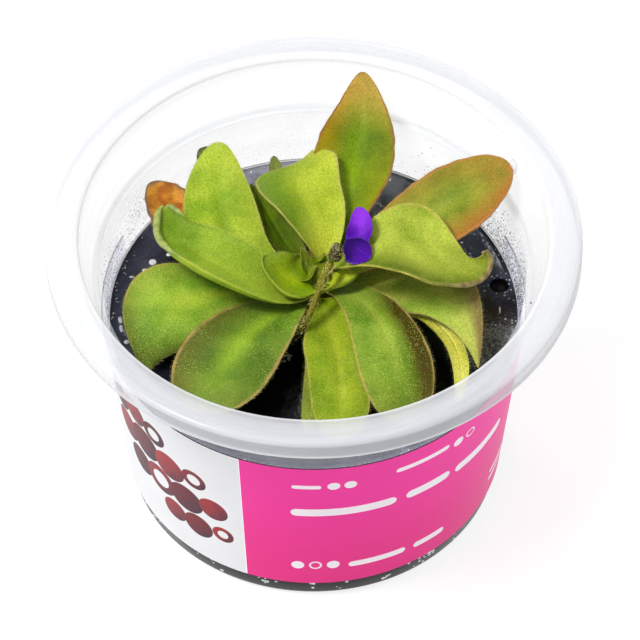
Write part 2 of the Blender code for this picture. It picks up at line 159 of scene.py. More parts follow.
@dataclass(frozen=True)
class Socket:
    """An output of a shader tree that can be used in arithmetic."""

    tree: "ShaderTree"
    link: bpy.types.NodeSocket

    def math(self, operation: str, *others: Any) -> "Socket":
        """Add a Math node that starts with this value."""
        return self.tree.math(operation, self, *others)

    def __add__(self, other: Any) -> "Socket":
        """This value plus another."""
        return self.math("ADD", other)

    def __radd__(self, other: Any) -> "Socket":
        """Another value plus this one."""
        return self.math("ADD", other)

    def __sub__(self, other: Any) -> "Socket":
        """This value minus another."""
        return self.math("SUBTRACT", other)

    def __rsub__(self, other: Any) -> "Socket":
        """Another value minus this one."""
        return self.tree.math("SUBTRACT", other, self)

    def __mul__(self, other: Any) -> "Socket":
        """This value times another."""
        return self.math("MULTIPLY", other)

    def __rmul__(self, other: Any) -> "Socket":
        """Another value times this one."""
        return self.math("MULTIPLY", other)

    def __pow__(self, other: Any) -> "Socket":
        """This value to a power."""
        return self.math("POWER", other)

    def __abs__(self) -> "Socket":
        """This value without its sign."""
        return self.math("ABSOLUTE")

    def least(self, other: Any) -> "Socket":
        """The smaller of this value and another."""
        return self.math("MINIMUM", other)

    def most(self, other: Any) -> "Socket":
        """The larger of this value and another."""
        return self.math("MAXIMUM", other)

    def rise(self, low: float, high: float) -> "Socket":
        """Rise smoothly from 0 where this value is low to 1 where it is high.

        Args:
            low: The value where the rise starts.
            high: The value where it ends.

        Returns:
            The eased value.
        """
        settings = {"interpolation_type": "SMOOTHSTEP"}
        values = {"Value": self, "From Min": low, "From Max": high}
        return self.tree.node("ShaderNodeMapRange", settings, values, "Result")

    def fall(self, low: float, high: float) -> "Socket":
        """Fall smoothly from 1 where this value is low to 0 where it is high."""
        return 1 - self.rise(low, high)


class ShaderTree:
    """The node tree of one material."""

    def __init__(self, name: str) -> None:
        """Start an empty material of that name.

        Args:
            name: The material's name.
        """
        self.material = bpy.data.materials.new(name)
        self.material.use_nodes = True
        self.nodes = self.material.node_tree.nodes
        self.nodes.clear()

    def node(self, kind: str, settings: dict[str, Any], values: dict[Any, Any], out: Any = 0) -> Socket:
        """Add one node.

        Args:
            kind: The node's type.
            settings: Its properties, set first.
            values: Numbers, colours or sockets for its inputs, by name or place.
            out: The name or place of the output to give back.

        Returns:
            That output.
        """
        made = self.nodes.new(kind)
        for key, value in settings.items():
            setattr(made, key, value)
        for key, value in values.items():
            if isinstance(value, Socket):
                self.material.node_tree.links.new(value.link, made.inputs[key])
            elif isinstance(value, tuple) and made.inputs[key].type == "RGBA":
                made.inputs[key].default_value = (*value, 1)
            else:
                made.inputs[key].default_value = value
        return Socket(self, made.outputs[out]) if len(made.outputs) else Socket(self, None)

    def math(self, operation: str, *values: Any) -> Socket:
        """Add a Math node on up to three values."""
        return self.node("ShaderNodeMath", {"operation": operation}, dict(enumerate(values)))

    def mix(self, share: Any, first: Any, second: Any) -> Socket:
        """Mix two colours: the first where the share is 0, and the second where it is 1."""
        return self.node("ShaderNodeMix", {"data_type": "RGBA"}, {0: share, 6: first, 7: second}, 2)

    def place(self) -> Socket:
        """The position on the object, in metres."""
        return self.node("ShaderNodeTexCoord", {}, {}, "Object")

    def layout(self, name: str) -> Socket:
        """The flat layout of that name on the mesh."""
        return self.node("ShaderNodeUVMap", {"uv_map": name}, {})

    def on_blade(self) -> tuple[Socket, Socket, Socket]:
        """The place across a blade, the share of the way from its midrib out, and the place along it."""
        across, along, _ = self.split(self.layout("layout"))
        return across, abs(across * 2 - 1), along

    def reading(self, name: str) -> Socket:
        """A number stored on the mesh's points under that name."""
        return self.node("ShaderNodeAttribute", {"attribute_name": name}, {}, "Fac")

    def split(self, vector: Socket) -> tuple[Socket, Socket, Socket]:
        """The three parts of a vector."""
        made = self.node("ShaderNodeSeparateXYZ", {}, {0: vector}).link.node
        return tuple(Socket(self, made.outputs[part]) for part in range(3))

    def join(self, first: Any, second: Any, third: Any) -> Socket:
        """A vector from its three parts."""
        return self.node("ShaderNodeCombineXYZ", {}, {0: first, 1: second, 2: third})

    def noise(self, vector: Socket, size: float, detail: float = 2, rough: float = 0.5) -> Socket:
        """Cloudy noise whose patches are about size millimetres across, from 0 to 1."""
        values = {"Vector": vector, "Scale": 1 / (size * MM), "Detail": detail, "Roughness": rough}
        return self.node("ShaderNodeTexNoise", {}, values, 0)

    def cells(self, vector: Socket, size: float) -> Socket:
        """The distance from the middle of the nearest of cells size millimetres across."""
        values = {"Vector": vector, "Scale": 1 / (size * MM)}
        return self.node("ShaderNodeTexVoronoi", {}, values, "Distance")

    def bump(self, height: Socket, depth: float, strength: float = 1) -> Socket:
        """Turn a height from 0 to 1 into a normal, for relief of depth millimetres."""
        values = {"Height": height, "Distance": depth * MM, "Strength": strength}
        return self.node("ShaderNodeBump", {}, values, "Normal")

    def surface(self, values: dict[str, Any]) -> Material:
        """Finish the surface with the Principled shader and these inputs, and give back the material.

        Args:
            values: Numbers, colours or sockets for its inputs, by name.

        Returns:
            The material.
        """
        shader = self.node("ShaderNodeBsdfPrincipled", {}, values)
        self.node("ShaderNodeOutputMaterial", {}, {"Surface": shader})
        return self.material


@dataclass
class Shape:
    """A mesh in the making: points in millimetres, faces, and what its shaders read from it."""

    name: str
    points: np.ndarray
    faces: Faces
    layout: np.ndarray | None = None
    readings: dict[str, np.ndarray] = field(default_factory=dict)
    parts: np.ndarray | None = None

    def mesh(self) -> bpy.types.Mesh:
        """Make the plain mesh, with every closed part of it facing outwards.

        Returns:
            The mesh.
        """
        mesh = bpy.data.meshes.new(self.name)
        mesh.from_pydata((self.points * MM).tolist(), [], self.faces)
        work = bmesh.new()
        work.from_mesh(mesh)
        bmesh.ops.recalc_face_normals(work, faces=work.faces)
        work.to_mesh(mesh)
        work.free()
        return mesh

    def build(self, materials: Sequence[Material], slot: str, nodes: Iterable[str] = ()) -> Any:
        """Make the object and place it on the part.

        Args:
            materials: Its materials, in the order that the faces name them.
            slot: Not used.
            nodes: The solids that it stands for.

        Returns:
            The new object.
        """
        mesh = self.mesh()
        if self.layout is not None:
            corners = np.zeros(len(mesh.loops), dtype=np.int32)
            mesh.loops.foreach_get("vertex_index", corners)
            mesh.uv_layers.new(name="layout").data.foreach_set("uv", self.layout[corners].ravel())
        for key, values in self.readings.items():
            mesh.attributes.new(key, "FLOAT", "POINT").data.foreach_set("value", values.astype(np.float32))
        for material in materials:
            mesh.materials.append(material)
        if self.parts is not None:
            mesh.polygons.foreach_set("material_index", self.parts.astype(np.int32))
        mesh.shade_smooth()
        mesh.set_sharp_from_angle(angle=math.radians(70))
        made = bpy.data.objects.new(self.name, mesh)
        bpy.context.scene.collection.objects.link(made)
        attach(made, BODY)
        if nodes:
            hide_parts(*nodes)
        LOG.info("%s: %d faces", self.name, len(self.faces))
        return made


def turned(name: str, profile: np.ndarray, segments: int) -> Shape:
    """Turn a profile round the Z axis.

    Args:
        name: The piece's name.
        profile: Radii and heights; it starts and ends on the axis.
        segments: How many steps go round.

    Returns:
        The turned shape, closed, with its faces outward.
    """
    turns = np.arange(segments) * (TURN / segments)
    inner = profile[1:-1]
    rings = polar(inner[:, :1], turns, inner[:, 1:2]).reshape(-1, 3)
    ends = np.array([[0, 0, profile[0, 1]], [0, 0, profile[-1, 1]]])
    first = len(rings)
    faces: Faces = []
    last = (len(inner) - 1) * segments
    for step in range(segments):
        after = (step + 1) % segments
        faces.append((first, after, step))
        faces.append((first + 1, last + step, last + after))
        for row in range(len(inner) - 1):
            here = row * segments
            faces.append((here + step, here + after, here + segments + after, here + segments + step))
    return Shape(name, np.concatenate([rings, ends]), faces)


BEAD_POINTS = np.array([(1, 0, 0), (-1, 0, 0), (0, 1, 0), (0, -1, 0), (0, 0, 1), (0, 0, -1)], dtype=float)
BEAD_FACES = ((0, 2, 4), (2, 1, 4), (1, 3, 4), (3, 0, 4), (2, 0, 5), (1, 2, 5), (3, 1, 5), (0, 3, 5))


def beads(centres: np.ndarray, radii: np.ndarray) -> Solid:
    """Make one small eight-sided bead at each centre.

    Args:
        centres: Where the beads are, in millimetres.
        radii: Their radii, in millimetres.

    Returns:
        The points and faces of all of them.
    """
    points = (centres[:, None, :] + radii[:, None, None] * BEAD_POINTS[None]).reshape(-1, 3)
    firsts = range(0, len(points), len(BEAD_POINTS))
    faces = [tuple(first + corner for corner in side) for first in firsts for side in BEAD_FACES]
    return points, faces


def hairs(roots: np.ndarray, ends: np.ndarray, radius: float) -> Solid:
    """Make one thin three-sided cone from each root to its end.

    Args:
        roots: Where the hairs start, in millimetres.
        ends: Where they end.
        radius: The radius at the root.

    Returns:
        The points and faces of all of them.
    """
    along = unit(ends - roots)
    aside = unit(np.cross(along, np.where(np.abs(along[:, 2:]) > 0.8, [[1, 0, 0]], [[0, 0, 1]])))
    other = np.cross(along, aside)
    rings = []
    for corner in range(3):
        turn = TURN * corner / 3
        rings.append(roots + radius * (math.cos(turn) * aside + math.sin(turn) * other))
    points = np.stack([*rings, ends], axis=1).reshape(-1, 3)
    faces: Faces = []
    for hair in range(len(roots)):
        base = 4 * hair
        faces += [(base, base + 1, base + 3), (base + 1, base + 2, base + 3), (base + 2, base, base + 3)]
        faces.append((base + 2, base + 1, base))
    return points, faces


def tube(path: np.ndarray, radii: np.ndarray, sides: int) -> Solid:
    """Sweep a round section along a path.

    Args:
        path: Points along the middle, in millimetres.
        radii: The radius at each point.
        sides: How many sides the section has.

    Returns:
        The points and faces of the closed tube.
    """
    along = unit(np.gradient(path, axis=0))
    aside = unit(np.array([1, 0, 0]) - along * along[:, :1])
    other = np.cross(along, aside)
    turns = np.arange(sides) * (TURN / sides)
    ring = aside[:, None] * np.cos(turns)[None, :, None] + other[:, None] * np.sin(turns)[None, :, None]
    points = (path[:, None] + radii[:, None, None] * ring).reshape(-1, 3)
    faces: Faces = []
    for row in range(len(path) - 1):
        for side in range(sides):
            here = row * sides + side
            beside = row * sides + (side + 1) % sides
            faces.append((here, beside, beside + sides, here + sides))
    faces.append(tuple(reversed(range(sides))))
    faces.append(tuple(sides * (len(path) - 1) + side for side in range(sides)))
    return points, faces


LEAF_FLESH = {
    "Specular IOR Level": 0.1,
    "Subsurface Weight": 0.05,
    "Subsurface Radius": (0.6, 1, 0.1),
    "Subsurface Scale": 0.001,
}


@dataclass(frozen=True)
class LeafFinish:
    """The colours of one leaf.

    core and light mottle the blade, and tip and root tint its ends. midrib_light_and_shade is painted light
    along the midrib, and painted shade on the few leaves where it is darker. flank_pigment_and_shade tints it
    towards its
    margins, from flank_reach in: brown pigment on some leaves, painted shade that darkens one side on others.
    margin edges it thinly, grain darkens it finely, and gland dots it with the glands' own pale colour and
    painted sparkle. patch is the size of the mottling in millimetres, and dots is how clearly glands show.
    """

    core: Colour = rgb(118, 160, 36)
    light: Colour = rgb(168, 192, 64)
    margin: Colour = rgb(190, 160, 100)
    tip: Colour = rgb(150, 160, 70)
    root: Colour = rgb(150, 176, 44)
    under: Colour = rgb(140, 160, 56)
    flank_pigment_and_shade: Colour = rgb(110, 104, 50)
    midrib_light_and_shade: Colour = rgb(196, 206, 84)
    grain: Colour = rgb(56, 86, 0)
    gland: Colour = rgb(222, 232, 110)
    margin_width: float = 0.036
    tip_share: float = 0.3
    left_share: float = 0.2
    right_share: float = 0.2
    root_share: float = 0.5
    midrib_light_and_shade_share: float = 0.5
    dots: float = 0.6
    patch: float = 8
    flank_reach: float = 0.45

    def upper(self, name: str) -> Material:
        """The material of the upper face, with its glands.

        Args:
            name: The material's name.

        Returns:
            The material.
        """
        tree = ShaderTree(name)
        place = tree.place()
        across_full, across, along = tree.on_blade()
        broad = tree.noise(place, self.patch, 1)
        cloud = tree.noise(place, 2.6, 3)
        grain = tree.noise(place, 0.4, 2, 0.6)
        mottle = broad.rise(0.36, 0.64) * 0.7 + cloud.rise(0.3, 0.7) * 0.3
        colour = tree.mix(mottle, self.core, self.light)
        colour = tree.mix(along.fall(0.02, 0.45) * self.root_share, colour, self.root)
        # Painted light along the midrib; where the midrib colour is darker than the blade, painted shade.
        midrib = across.fall(0, 0.34) * along.rise(0.08, 0.25) * along.fall(0.45, 0.95)
        colour = tree.mix(midrib * (broad + 0.5) * self.midrib_light_and_shade_share, colour, self.midrib_light_and_shade)
        # Towards the margins: brown pigment on some leaves, painted shade that darkens one side on others.
        left = self._side(across_full.rise(1 - self.flank_reach, 1), along, cloud, self.left_share)
        colour = tree.mix(left, colour, self.flank_pigment_and_shade)
        right = self._side(across_full.fall(0, self.flank_reach), along, cloud, self.right_share)
        colour = tree.mix(right, colour, self.flank_pigment_and_shade)
        colour = tree.mix(along.rise(0.68, 1) * (cloud + 0.4) * self.tip_share, colour, self.tip)
        uneven = across + (cloud - 0.5) * 0.05
        edge = uneven.rise(1 - 2 * self.margin_width, 1 - 0.5 * self.margin_width)
        end = (along + (cloud - 0.5) * 0.03).rise(0.975, 0.997)
        colour = tree.mix(edge.most(end) * (cloud.rise(0.3, 0.6) * 0.4 + 0.4), colour, self.margin)
        zone = tree.noise(place, 7, 2).rise(0.4, 0.6) * 0.6 + 0.4
        # Pale gland dots: the glands' own colour, with painted sparkle.
        dot = tree.cells(place, 0.3).fall(0.12, 0.44) * tree.noise(place, 1, 1).rise(0.28, 0.52)
        colour = tree.mix(grain.rise(0.38, 0.66) * 0.3, colour, self.grain)
        colour = tree.mix(dot * zone * self.dots, colour, self.gland)
        return tree.surface({
            "Base Color": colour,
            "Roughness": 0.46 - dot * 0.15 + (grain - 0.5) * 0.15,
            "Normal": tree.bump(dot * 0.5 + grain * 0.4 + cloud * 0.6, 0.16, 0.8),
            **LEAF_FLESH,
        })

    def _side(self, reach: Socket, along: Socket, cloud: Socket, share: float) -> Socket:
        """How strongly one side takes the flank colour towards its margin: pigment on some leaves, painted
        shade on others.
        """
        return reach * along.rise(0.1, 0.45) * (cloud * 0.8 + 0.6) * share

    def lower(self, name: str) -> Material:
        """The material of the under face, smoother and a little greyer.

        Args:
            name: The material's name.

        Returns:
            The material.
        """
        tree = ShaderTree(name)
        place = tree.place()
        _, across, along = tree.on_blade()
        cloud = tree.noise(place, 3, 3)
        grain = tree.noise(place, 0.35, 2)
        colour = tree.mix(cloud.rise(0.3, 0.7) * 0.6, self.under, self.core)
        colour = tree.mix(across.rise(1 - 2 * self.margin_width, 1) * 0.8, colour, self.margin)
        colour = tree.mix(along.rise(0.7, 1) * self.tip_share, colour, self.tip)
        return tree.surface({
            "Base Color": colour,
            "Roughness": 0.5 + (grain - 0.5) * 0.2,
            "Normal": tree.bump(grain, 0.08, 0.7),
            **LEAF_FLESH,
        })


@dataclass(frozen=True)
class DewFinish:
    """The clear sticky drops that the glands carry."""

    colour: Colour = rgb(232, 240, 130)
    shade: Colour = rgb(200, 214, 70)

    def material(self, name: str) -> Material:
        """The drops' material.

        Args:
            name: The material's name.

        Returns:
            The material.
        """
        tree = ShaderTree(name)
        cloud = tree.noise(tree.place(), 1.4, 1)
        return tree.surface({
            "Base Color": tree.mix(cloud.rise(0.3, 0.7), self.shade, self.colour),
            "Roughness": 0.08 + cloud * 0.1,
            "Alpha": 0.17 + cloud * 0.27,
            "Specular IOR Level": 0.5,
        })


@dataclass(frozen=True)
class PetalFinish:
    """A velvety petal: deep in the throat, bright towards the end, with fine veins."""

    deep: Colour
    bright: Colour
    vein: Colour
    edge: Colour
    edge_share: float = 0

    def material(self, name: str) -> Material:
        """The petal's material.

        Args:
            name: The material's name.

        Returns:
            The material.
        """
        tree = ShaderTree(name)
        place = tree.place()
        across_full, across, along = tree.on_blade()
        cloud = tree.noise(place, 1.2, 2)
        grain = tree.noise(place, 0.2, 2)
        lines = ((across_full * 62 + cloud * 3).math("SINE") * 0.5 + 0.5).rise(0.55, 1)
        glow = (along * 1.1 + cloud * 0.5 - across * 0.35).rise(0.25, 1.05)
        colour = tree.mix(glow, self.deep, self.bright)
        colour = tree.mix(lines * 0.5, colour, self.vein)
        rim = across.rise(0.86, 1).most(along.rise(0.93, 1))
        colour = tree.mix(rim * self.edge_share, colour, self.edge)
        return tree.surface({
            "Base Color": colour,
            "Roughness": 0.6 + (grain - 0.5) * 0.2,
            "Normal": tree.bump(lines * 0.5 + grain * 0.5, 0.06, 0.7),
            "Specular IOR Level": 0.12,
            "Sheen Weight": 0.03,
            "Sheen Roughness": 0.4,
        })


@dataclass(frozen=True)
class StemFinish:
    """A soft green stem that is brown towards its foot."""

    foot: Colour
    head: Colour
    low: float
    high: float
    fleck: Colour = rgb(186, 184, 70)
    fleck_share: float = 0.4

    def material(self, name: str) -> Material:
        """The stem's material.

        Args:
            name: The material's name.

        Returns:
            The material.
        """
        tree = ShaderTree(name)
        place = tree.place()
        _, _, height = tree.split(place)
        cloud = tree.noise(place, 0.7, 3)
        rise = (height + (cloud - 0.5) * 0.002).rise(self.low * MM, self.high * MM)
        colour = tree.mix(rise, self.foot, self.head)
        colour = tree.mix(cloud.rise(0.5, 0.75) * self.fleck_share, colour, self.fleck)
        return tree.surface({
            "Base Color": colour,
            "Roughness": 0.5 + cloud * 0.2,
            "Normal": tree.bump(cloud, 0.12),
            "Specular IOR Level": 0.2,
            "Subsurface Weight": 0.1,
            "Subsurface Radius": (0.6, 1, 0.2),
            "Subsurface Scale": 0.0006,
        })


@dataclass(frozen=True)
class PlasticFinish:
    """The milky clear plastic of the cup: cloudier where the mesh says so, streaked along its rings, greyed
    by painted shade where its shade reading says, and near-black at the foot, where its dark reading is
    painted darkness standing in for the gel seen through the plastic.
    """

    tint: Colour = rgb(238, 238, 240)
    shade: Colour = rgb(184, 189, 202)
    dark: Colour = rgb(12, 7, 14)
    damp: Colour = rgb(120, 124, 144)

    def material(self, name: str) -> Material:
        """The plastic's material.

        Args:
            name: The material's name.

        Returns:
            The material.
        """
        tree = ShaderTree(name)
        place = tree.place()
        east, north, height = tree.split(place)
        radius = (east * east + north * north) ** 0.5
        turn = tree.math("ARCTAN2", north, east)
        ring = tree.join(turn * 0.004, radius * 1.6, height * 1.6)
        streak = tree.noise(ring, 1.1, 3, 0.6).rise(0.3, 0.7)
        mist = tree.noise(place, 0.35, 2, 0.6).rise(0.5, 0.72)
        damp = tree.reading("damp") * tree.noise(place, 9, 2).rise(0.35, 0.7)
        cloudy = tree.reading("cloudy")
        shade = tree.reading("shade")
        # Painted shade: the shade reading greys the plastic, streaked where it is strong.
        depth = (shade + (streak - 0.5) * 0.5 * shade.rise(0.2, 0.4)).most(0).least(1)
        colour = tree.mix(depth, self.tint, self.shade)
        haze = damp * (mist * 0.5 + 0.14)
        colour = tree.mix(haze, colour, self.damp)
        # Painted darkness: the dark reading stands in for the black gel seen through the cup's foot.
        dark = tree.reading("dark")
        colour = tree.mix(dark.rise(0, 0.2), colour, self.dark)
        opacity = cloudy * (0.94 + streak * 0.12) + haze + dark
        edge = tree.node("ShaderNodeLayerWeight", {}, {"Blend": 0.5}, "Facing") ** 6
        return tree.surface({
            "Base Color": colour,
            "Roughness": 0.14 + streak * 0.16 + mist * damp * 0.2,
            "Alpha": (opacity + edge * 0.2).least(1),
            "Normal": tree.bump(streak * shade.least(0.3) + mist * damp * 0.5, 0.04, 0.4),
            "Specular IOR Level": 0.16,
        })


@dataclass(frozen=True)
class GelFinish:
    """The near-black gel: wet, and dusty in one place. Painted reflection makes it navy at its edge and pale
    at its far side, and painted shade makes it blacker in the pit and low down.
    """

    deep: Colour = rgb(9, 9, 12)
    edge: Colour = rgb(64, 68, 88)
    far: Colour = rgb(142, 142, 154)
    dust: Colour = rgb(118, 114, 90)
    grit: Colour = rgb(196, 190, 168)
    hollow: Colour = rgb(2, 2, 3)
    radius: float = 36
    dust_centre: Point = (32.6, -7.6, 38)
    warm: Colour = rgb(38, 27, 23)
    warm_centre: Point = (31.5, 0.6, 38)

    def material(self, name: str) -> Material:
        """The gel's material.

        Args:
            name: The material's name.

        Returns:
            The material.
        """
        tree = ShaderTree(name)
        place = tree.place()
        east, north, height = tree.split(place)
        reach = (east * east + north * north) ** 0.5
        cloud = tree.noise(place, 5, 3)
        fine = tree.noise(place, 0.5, 3, 0.7)
        upper = height.rise(37.4 * MM, 38.1 * MM)
        # Painted reflection: navy towards the gel's edge.
        rim = (reach + (cloud - 0.5) * 0.004).rise((self.radius - 9) * MM, self.radius * MM) * upper
        colour = tree.mix(rim * 0.9, self.deep, self.edge)
        # Painted reflection: paler towards the far side.
        colour = tree.mix(north.rise(17 * MM, 30 * MM) * cloud.rise(0.3, 0.6) * upper, colour, self.far)
        grit = tree.cells(place, 0.6).fall(0.12, 0.3) * fine.rise(0.35, 0.6)
        dusty = self._near(tree, place, self.dust_centre, 7.5) * fine.rise(0.4, 0.62)
        warm = self._near(tree, place, self.warm_centre, 5) * tree.noise(place, 2.2, 2).rise(0.25, 0.55)
        colour = tree.mix(warm * 0.85, colour, self.warm)
        colour = tree.mix(dusty * 0.9, colour, self.dust)
        colour = tree.mix(grit * (dusty * 0.7 + rim * 0.2).least(1), colour, self.grit)
        # Painted shade: near-black in the pit and on the gel's lower side and base.
        hollow = height.fall(37.3 * MM, 37.9 * MM) * reach.fall(35.3 * MM, 35.6 * MM)
        colour = tree.mix(hollow, colour, self.hollow)
        return tree.surface({
            "Base Color": colour,
            "Roughness": 0.06 + dusty * 0.4 + cloud * 0.05 + hollow * 0.5,
            "Normal": tree.bump(cloud + fine * 0.1, 0.5, 0.8),
            "Specular IOR Level": 0.28,
        })

    def _near(self, tree: ShaderTree, place: Socket, centre: Point, reach: float) -> Socket:
        """A soft patch round a point, in millimetres.

        Args:
            tree: The material's tree.
            place: The position on the gel.
            centre: The middle of the patch.
            reach: How far it reaches.

        Returns:
            A share that falls from 1 in the middle to 0.
        """
        middle = tuple(part * MM for part in centre)
        away = tree.node("ShaderNodeVectorMath", {"operation": "DISTANCE"}, {0: place, 1: middle}, "Value")
        return away.fall(0.35 * reach * MM, 1.4 * reach * MM)


@dataclass(frozen=True)
class PlainFinish:
    """A simple mottled finish for small things: flakes, curls and bubbles."""

    colour: Colour
    shade: Colour
    roughness: float = 0.5
    alpha: float = 1

    def material(self, name: str) -> Material:
        """The finish as a material.

        Args:
            name: The material's name.

        Returns:
            The material.
        """
        tree = ShaderTree(name)
        cloud = tree.noise(tree.place(), 1.3, 2)
        return tree.surface({
            "Base Color": tree.mix(cloud.rise(0.35, 0.65), self.shade, self.colour),
            "Roughness": self.roughness + (cloud - 0.5) * 0.2,
            "Alpha": self.alpha,
            "Normal": tree.bump(cloud, 0.05),
        })


@dataclass(frozen=True)
class PaperFinish:
    """Coated paper with a plain printed layout, read in millimetres along and up the wrap."""

    ground: Colour
    ink: Colour

    def start(self, name: str) -> tuple[ShaderTree, Socket, Socket]:
        """Start the material and read the printed layout.

        Args:
            name: The material's name.

        Returns:
            The tree, the length along the wrap and the height up it.
        """
        tree = ShaderTree(name)
        along, up, _ = tree.split(tree.layout("layout"))
        return tree, along, up

    def coat(self, tree: ShaderTree, colour: Socket, light: dict[str, Any] | None = None) -> Material:
        """Finish the material with the paper's own grain and gloss.

        Args:
            tree: The material's tree.
            colour: Its colour.
            light: The inputs of the light that comes through it, if any.

        Returns:
            The material.
        """
        place = tree.place()
        grain = tree.noise(place, 0.25, 2)
        cloud = tree.noise(place, 7, 2)
        return tree.surface({
            "Base Color": tree.mix((cloud - 0.5) * 0.12, colour, (0, 0, 0)),
            "Roughness": 0.38 + (grain - 0.5) * 0.16,
            "Normal": tree.bump(grain, 0.02, 0.5),
            "Specular IOR Level": 0.15,
            **(light or {}),
        })


@dataclass(frozen=True)
class Bar:
    """A plain rounded bar on the paper; a dot where it has no length. Sizes in millimetres."""

    along: float
    up: float
    length: float
    radius: float
    hollow: float = 0

    def mask(self, along: Socket, up: Socket) -> Socket:
        """Where the bar is, from 0 to 1.

        Args:
            along: The length along the wrap.
            up: The height up it.

        Returns:
            The share of ink.
        """
        beyond = (abs(along - (self.along + 0.5 * self.length)) - 0.5 * self.length).most(0)
        high = up - self.up
        away = (beyond * beyond + high * high) ** 0.5
        full = away.fall(self.radius - 0.06, self.radius + 0.06)
        if self.hollow:
            return full * away.rise(self.hollow - 0.06, self.hollow + 0.06)
        return full


@dataclass(frozen=True)
class PinkPaper(PaperFinish):
    """The pink panel, with plain bars and dots in place of words, and painted light that makes it lighter
    towards the top.
    """

    ground: Colour = rgb(242, 36, 138)
    # The colour of the painted light at the panel's top.
    head: Colour = rgb(254, 48, 164)
    ink: Colour = rgb(255, 246, 252)
    bars: tuple[Bar, ...] = (
        Bar(9.6, 35.8, 4, 0.55), Bar(16.3, 36, 0, 1.1), Bar(19.2, 36, 0, 1.1),
        Bar(27.9, 36.9, 9.4, 0.6), Bar(40.1, 36.2, 0, 1.1), Bar(43, 36.3, 0, 1.1, 0.8),
        Bar(9.9, 27.6, 16.8, 1.1), Bar(30.8, 27.6, 7, 1.1), Bar(41.4, 27.2, 11.8, 1.1),
        Bar(9.9, 10.3, 0, 1.2), Bar(13.2, 10.3, 0, 1.2, 0.85), Bar(16.5, 10.3, 0, 1.2),
        Bar(20.2, 9.8, 9.6, 0.8), Bar(33.2, 9.6, 5.4, 0.8), Bar(54.4, 12, 6, 0.5),
        Bar(54.4, 9.6, 8, 0.5),
    )

    def material(self, name: str) -> Material:
        """The panel's material.

        Args:
            name: The material's name.

        Returns:
            The material.
        """
        tree, along, up = self.start(name)
        marks = self.bars[0].mask(along, up)
        for bar in self.bars[1:]:
            marks = marks.most(bar.mask(along, up))
        # Painted light: the pink grows lighter towards the top.
        ground = tree.mix(up.rise(4, 38), self.ground, self.head)
        return self.coat(tree, tree.mix(marks, ground, self.ink))


@dataclass(frozen=True)
class WhitePaper(PaperFinish):
    """The white panel, with a plain pattern of crimson discs and rings.

    Each disc has its place along and up, its radius, its share of the bright colour, and the radius of the
    hole that makes it a ring.
    """

    ground: Colour = rgb(238, 238, 240)
    ink: Colour = rgb(84, 18, 30)
    bright: Colour = rgb(166, 38, 44)
    shadow: Colour = rgb(40, 34, 56)
    discs: tuple[tuple[float, float, float, float, float], ...] = (
        (-30, 34, 3.6, 0.3, 0), (-24.2, 35, 3.2, 1, 0), (-18.6, 34, 2.8, 0.1, 1.5),
        (-28, 27, 3.6, 0.8, 0), (-22, 28, 4, 0.2, 0), (-15.4, 27.4, 3.6, 1, 0),
        (-9.6, 28.4, 2.6, 0.5, 1.4), (-24.4, 20.2, 3.4, 0.1, 0), (-18.4, 20.6, 3.8, 0.7, 2.1),
        (-12, 20.6, 3.8, 0.2, 0), (-6, 21.6, 3, 0.9, 0), (-15.4, 14, 2.8, 0.8, 0),
        (-9.8, 13.8, 3.2, 0.4, 0), (-4.4, 14.6, 2.2, 1, 1.1),
    )

    def material(self, name: str) -> Material:
        """The panel's material.

        Args:
            name: The material's name.

        Returns:
            The material.
        """
        tree, along, up = self.start(name)
        grain = tree.noise(tree.place(), 1.2, 3)
        colour: Any = self.ground
        for middle, height, radius, share, hollow in self.discs:
            disc = Bar(middle, height, 0, radius, hollow).mask(along, up)
            slope = ((along - middle) - (up - height)) * (0.35 / radius) + (grain - 0.5) * 1.2
            fill = tree.mix(slope.rise(-0.4, 0.9), toward(self.ink, self.bright, share), self.shadow)
            colour = tree.mix(disc, colour, fill)
        return self.coat(tree, colour)


@dataclass(frozen=True)
class PaperBack(PaperFinish):
    """The plain back and edges of the wrap, with a painted shadow line along its top edge at the front, and a
    painted glow from its back below that edge.
    """

    ground: Colour = rgb(240, 240, 244)
    ink: Colour = rgb(222, 222, 230)
    # The colour of the painted shadow line along the top edge.
    edge: Colour = rgb(20, 18, 22)
    # The colour of the painted glow that lights the back from within.
    glow: Colour = rgb(222, 222, 230)

    def material(self, name: str) -> Material:
        """The back's material.

        Args:
            name: The material's name.

        Returns:
            The material.
        """
        tree, _, up = self.start(name)
        cloud = tree.noise(tree.place(), 3, 2)
        _, north, _ = tree.split(tree.place())
        # Painted shadow: a dark line along the top edge at the front.
        line = up.rise(41.5, 41.58) * north.fall(-20 * MM, -8 * MM)
        colour = tree.mix(line, tree.mix(cloud, self.ground, self.ink), self.edge)
        # Painted light: the back and edges glow below the top edge.
        glow = tree.mix(up.fall(41.4, 41.5), (0, 0, 0), self.glow)
        return self.coat(tree, colour, {"Emission Color": glow, "Emission Strength": 1})


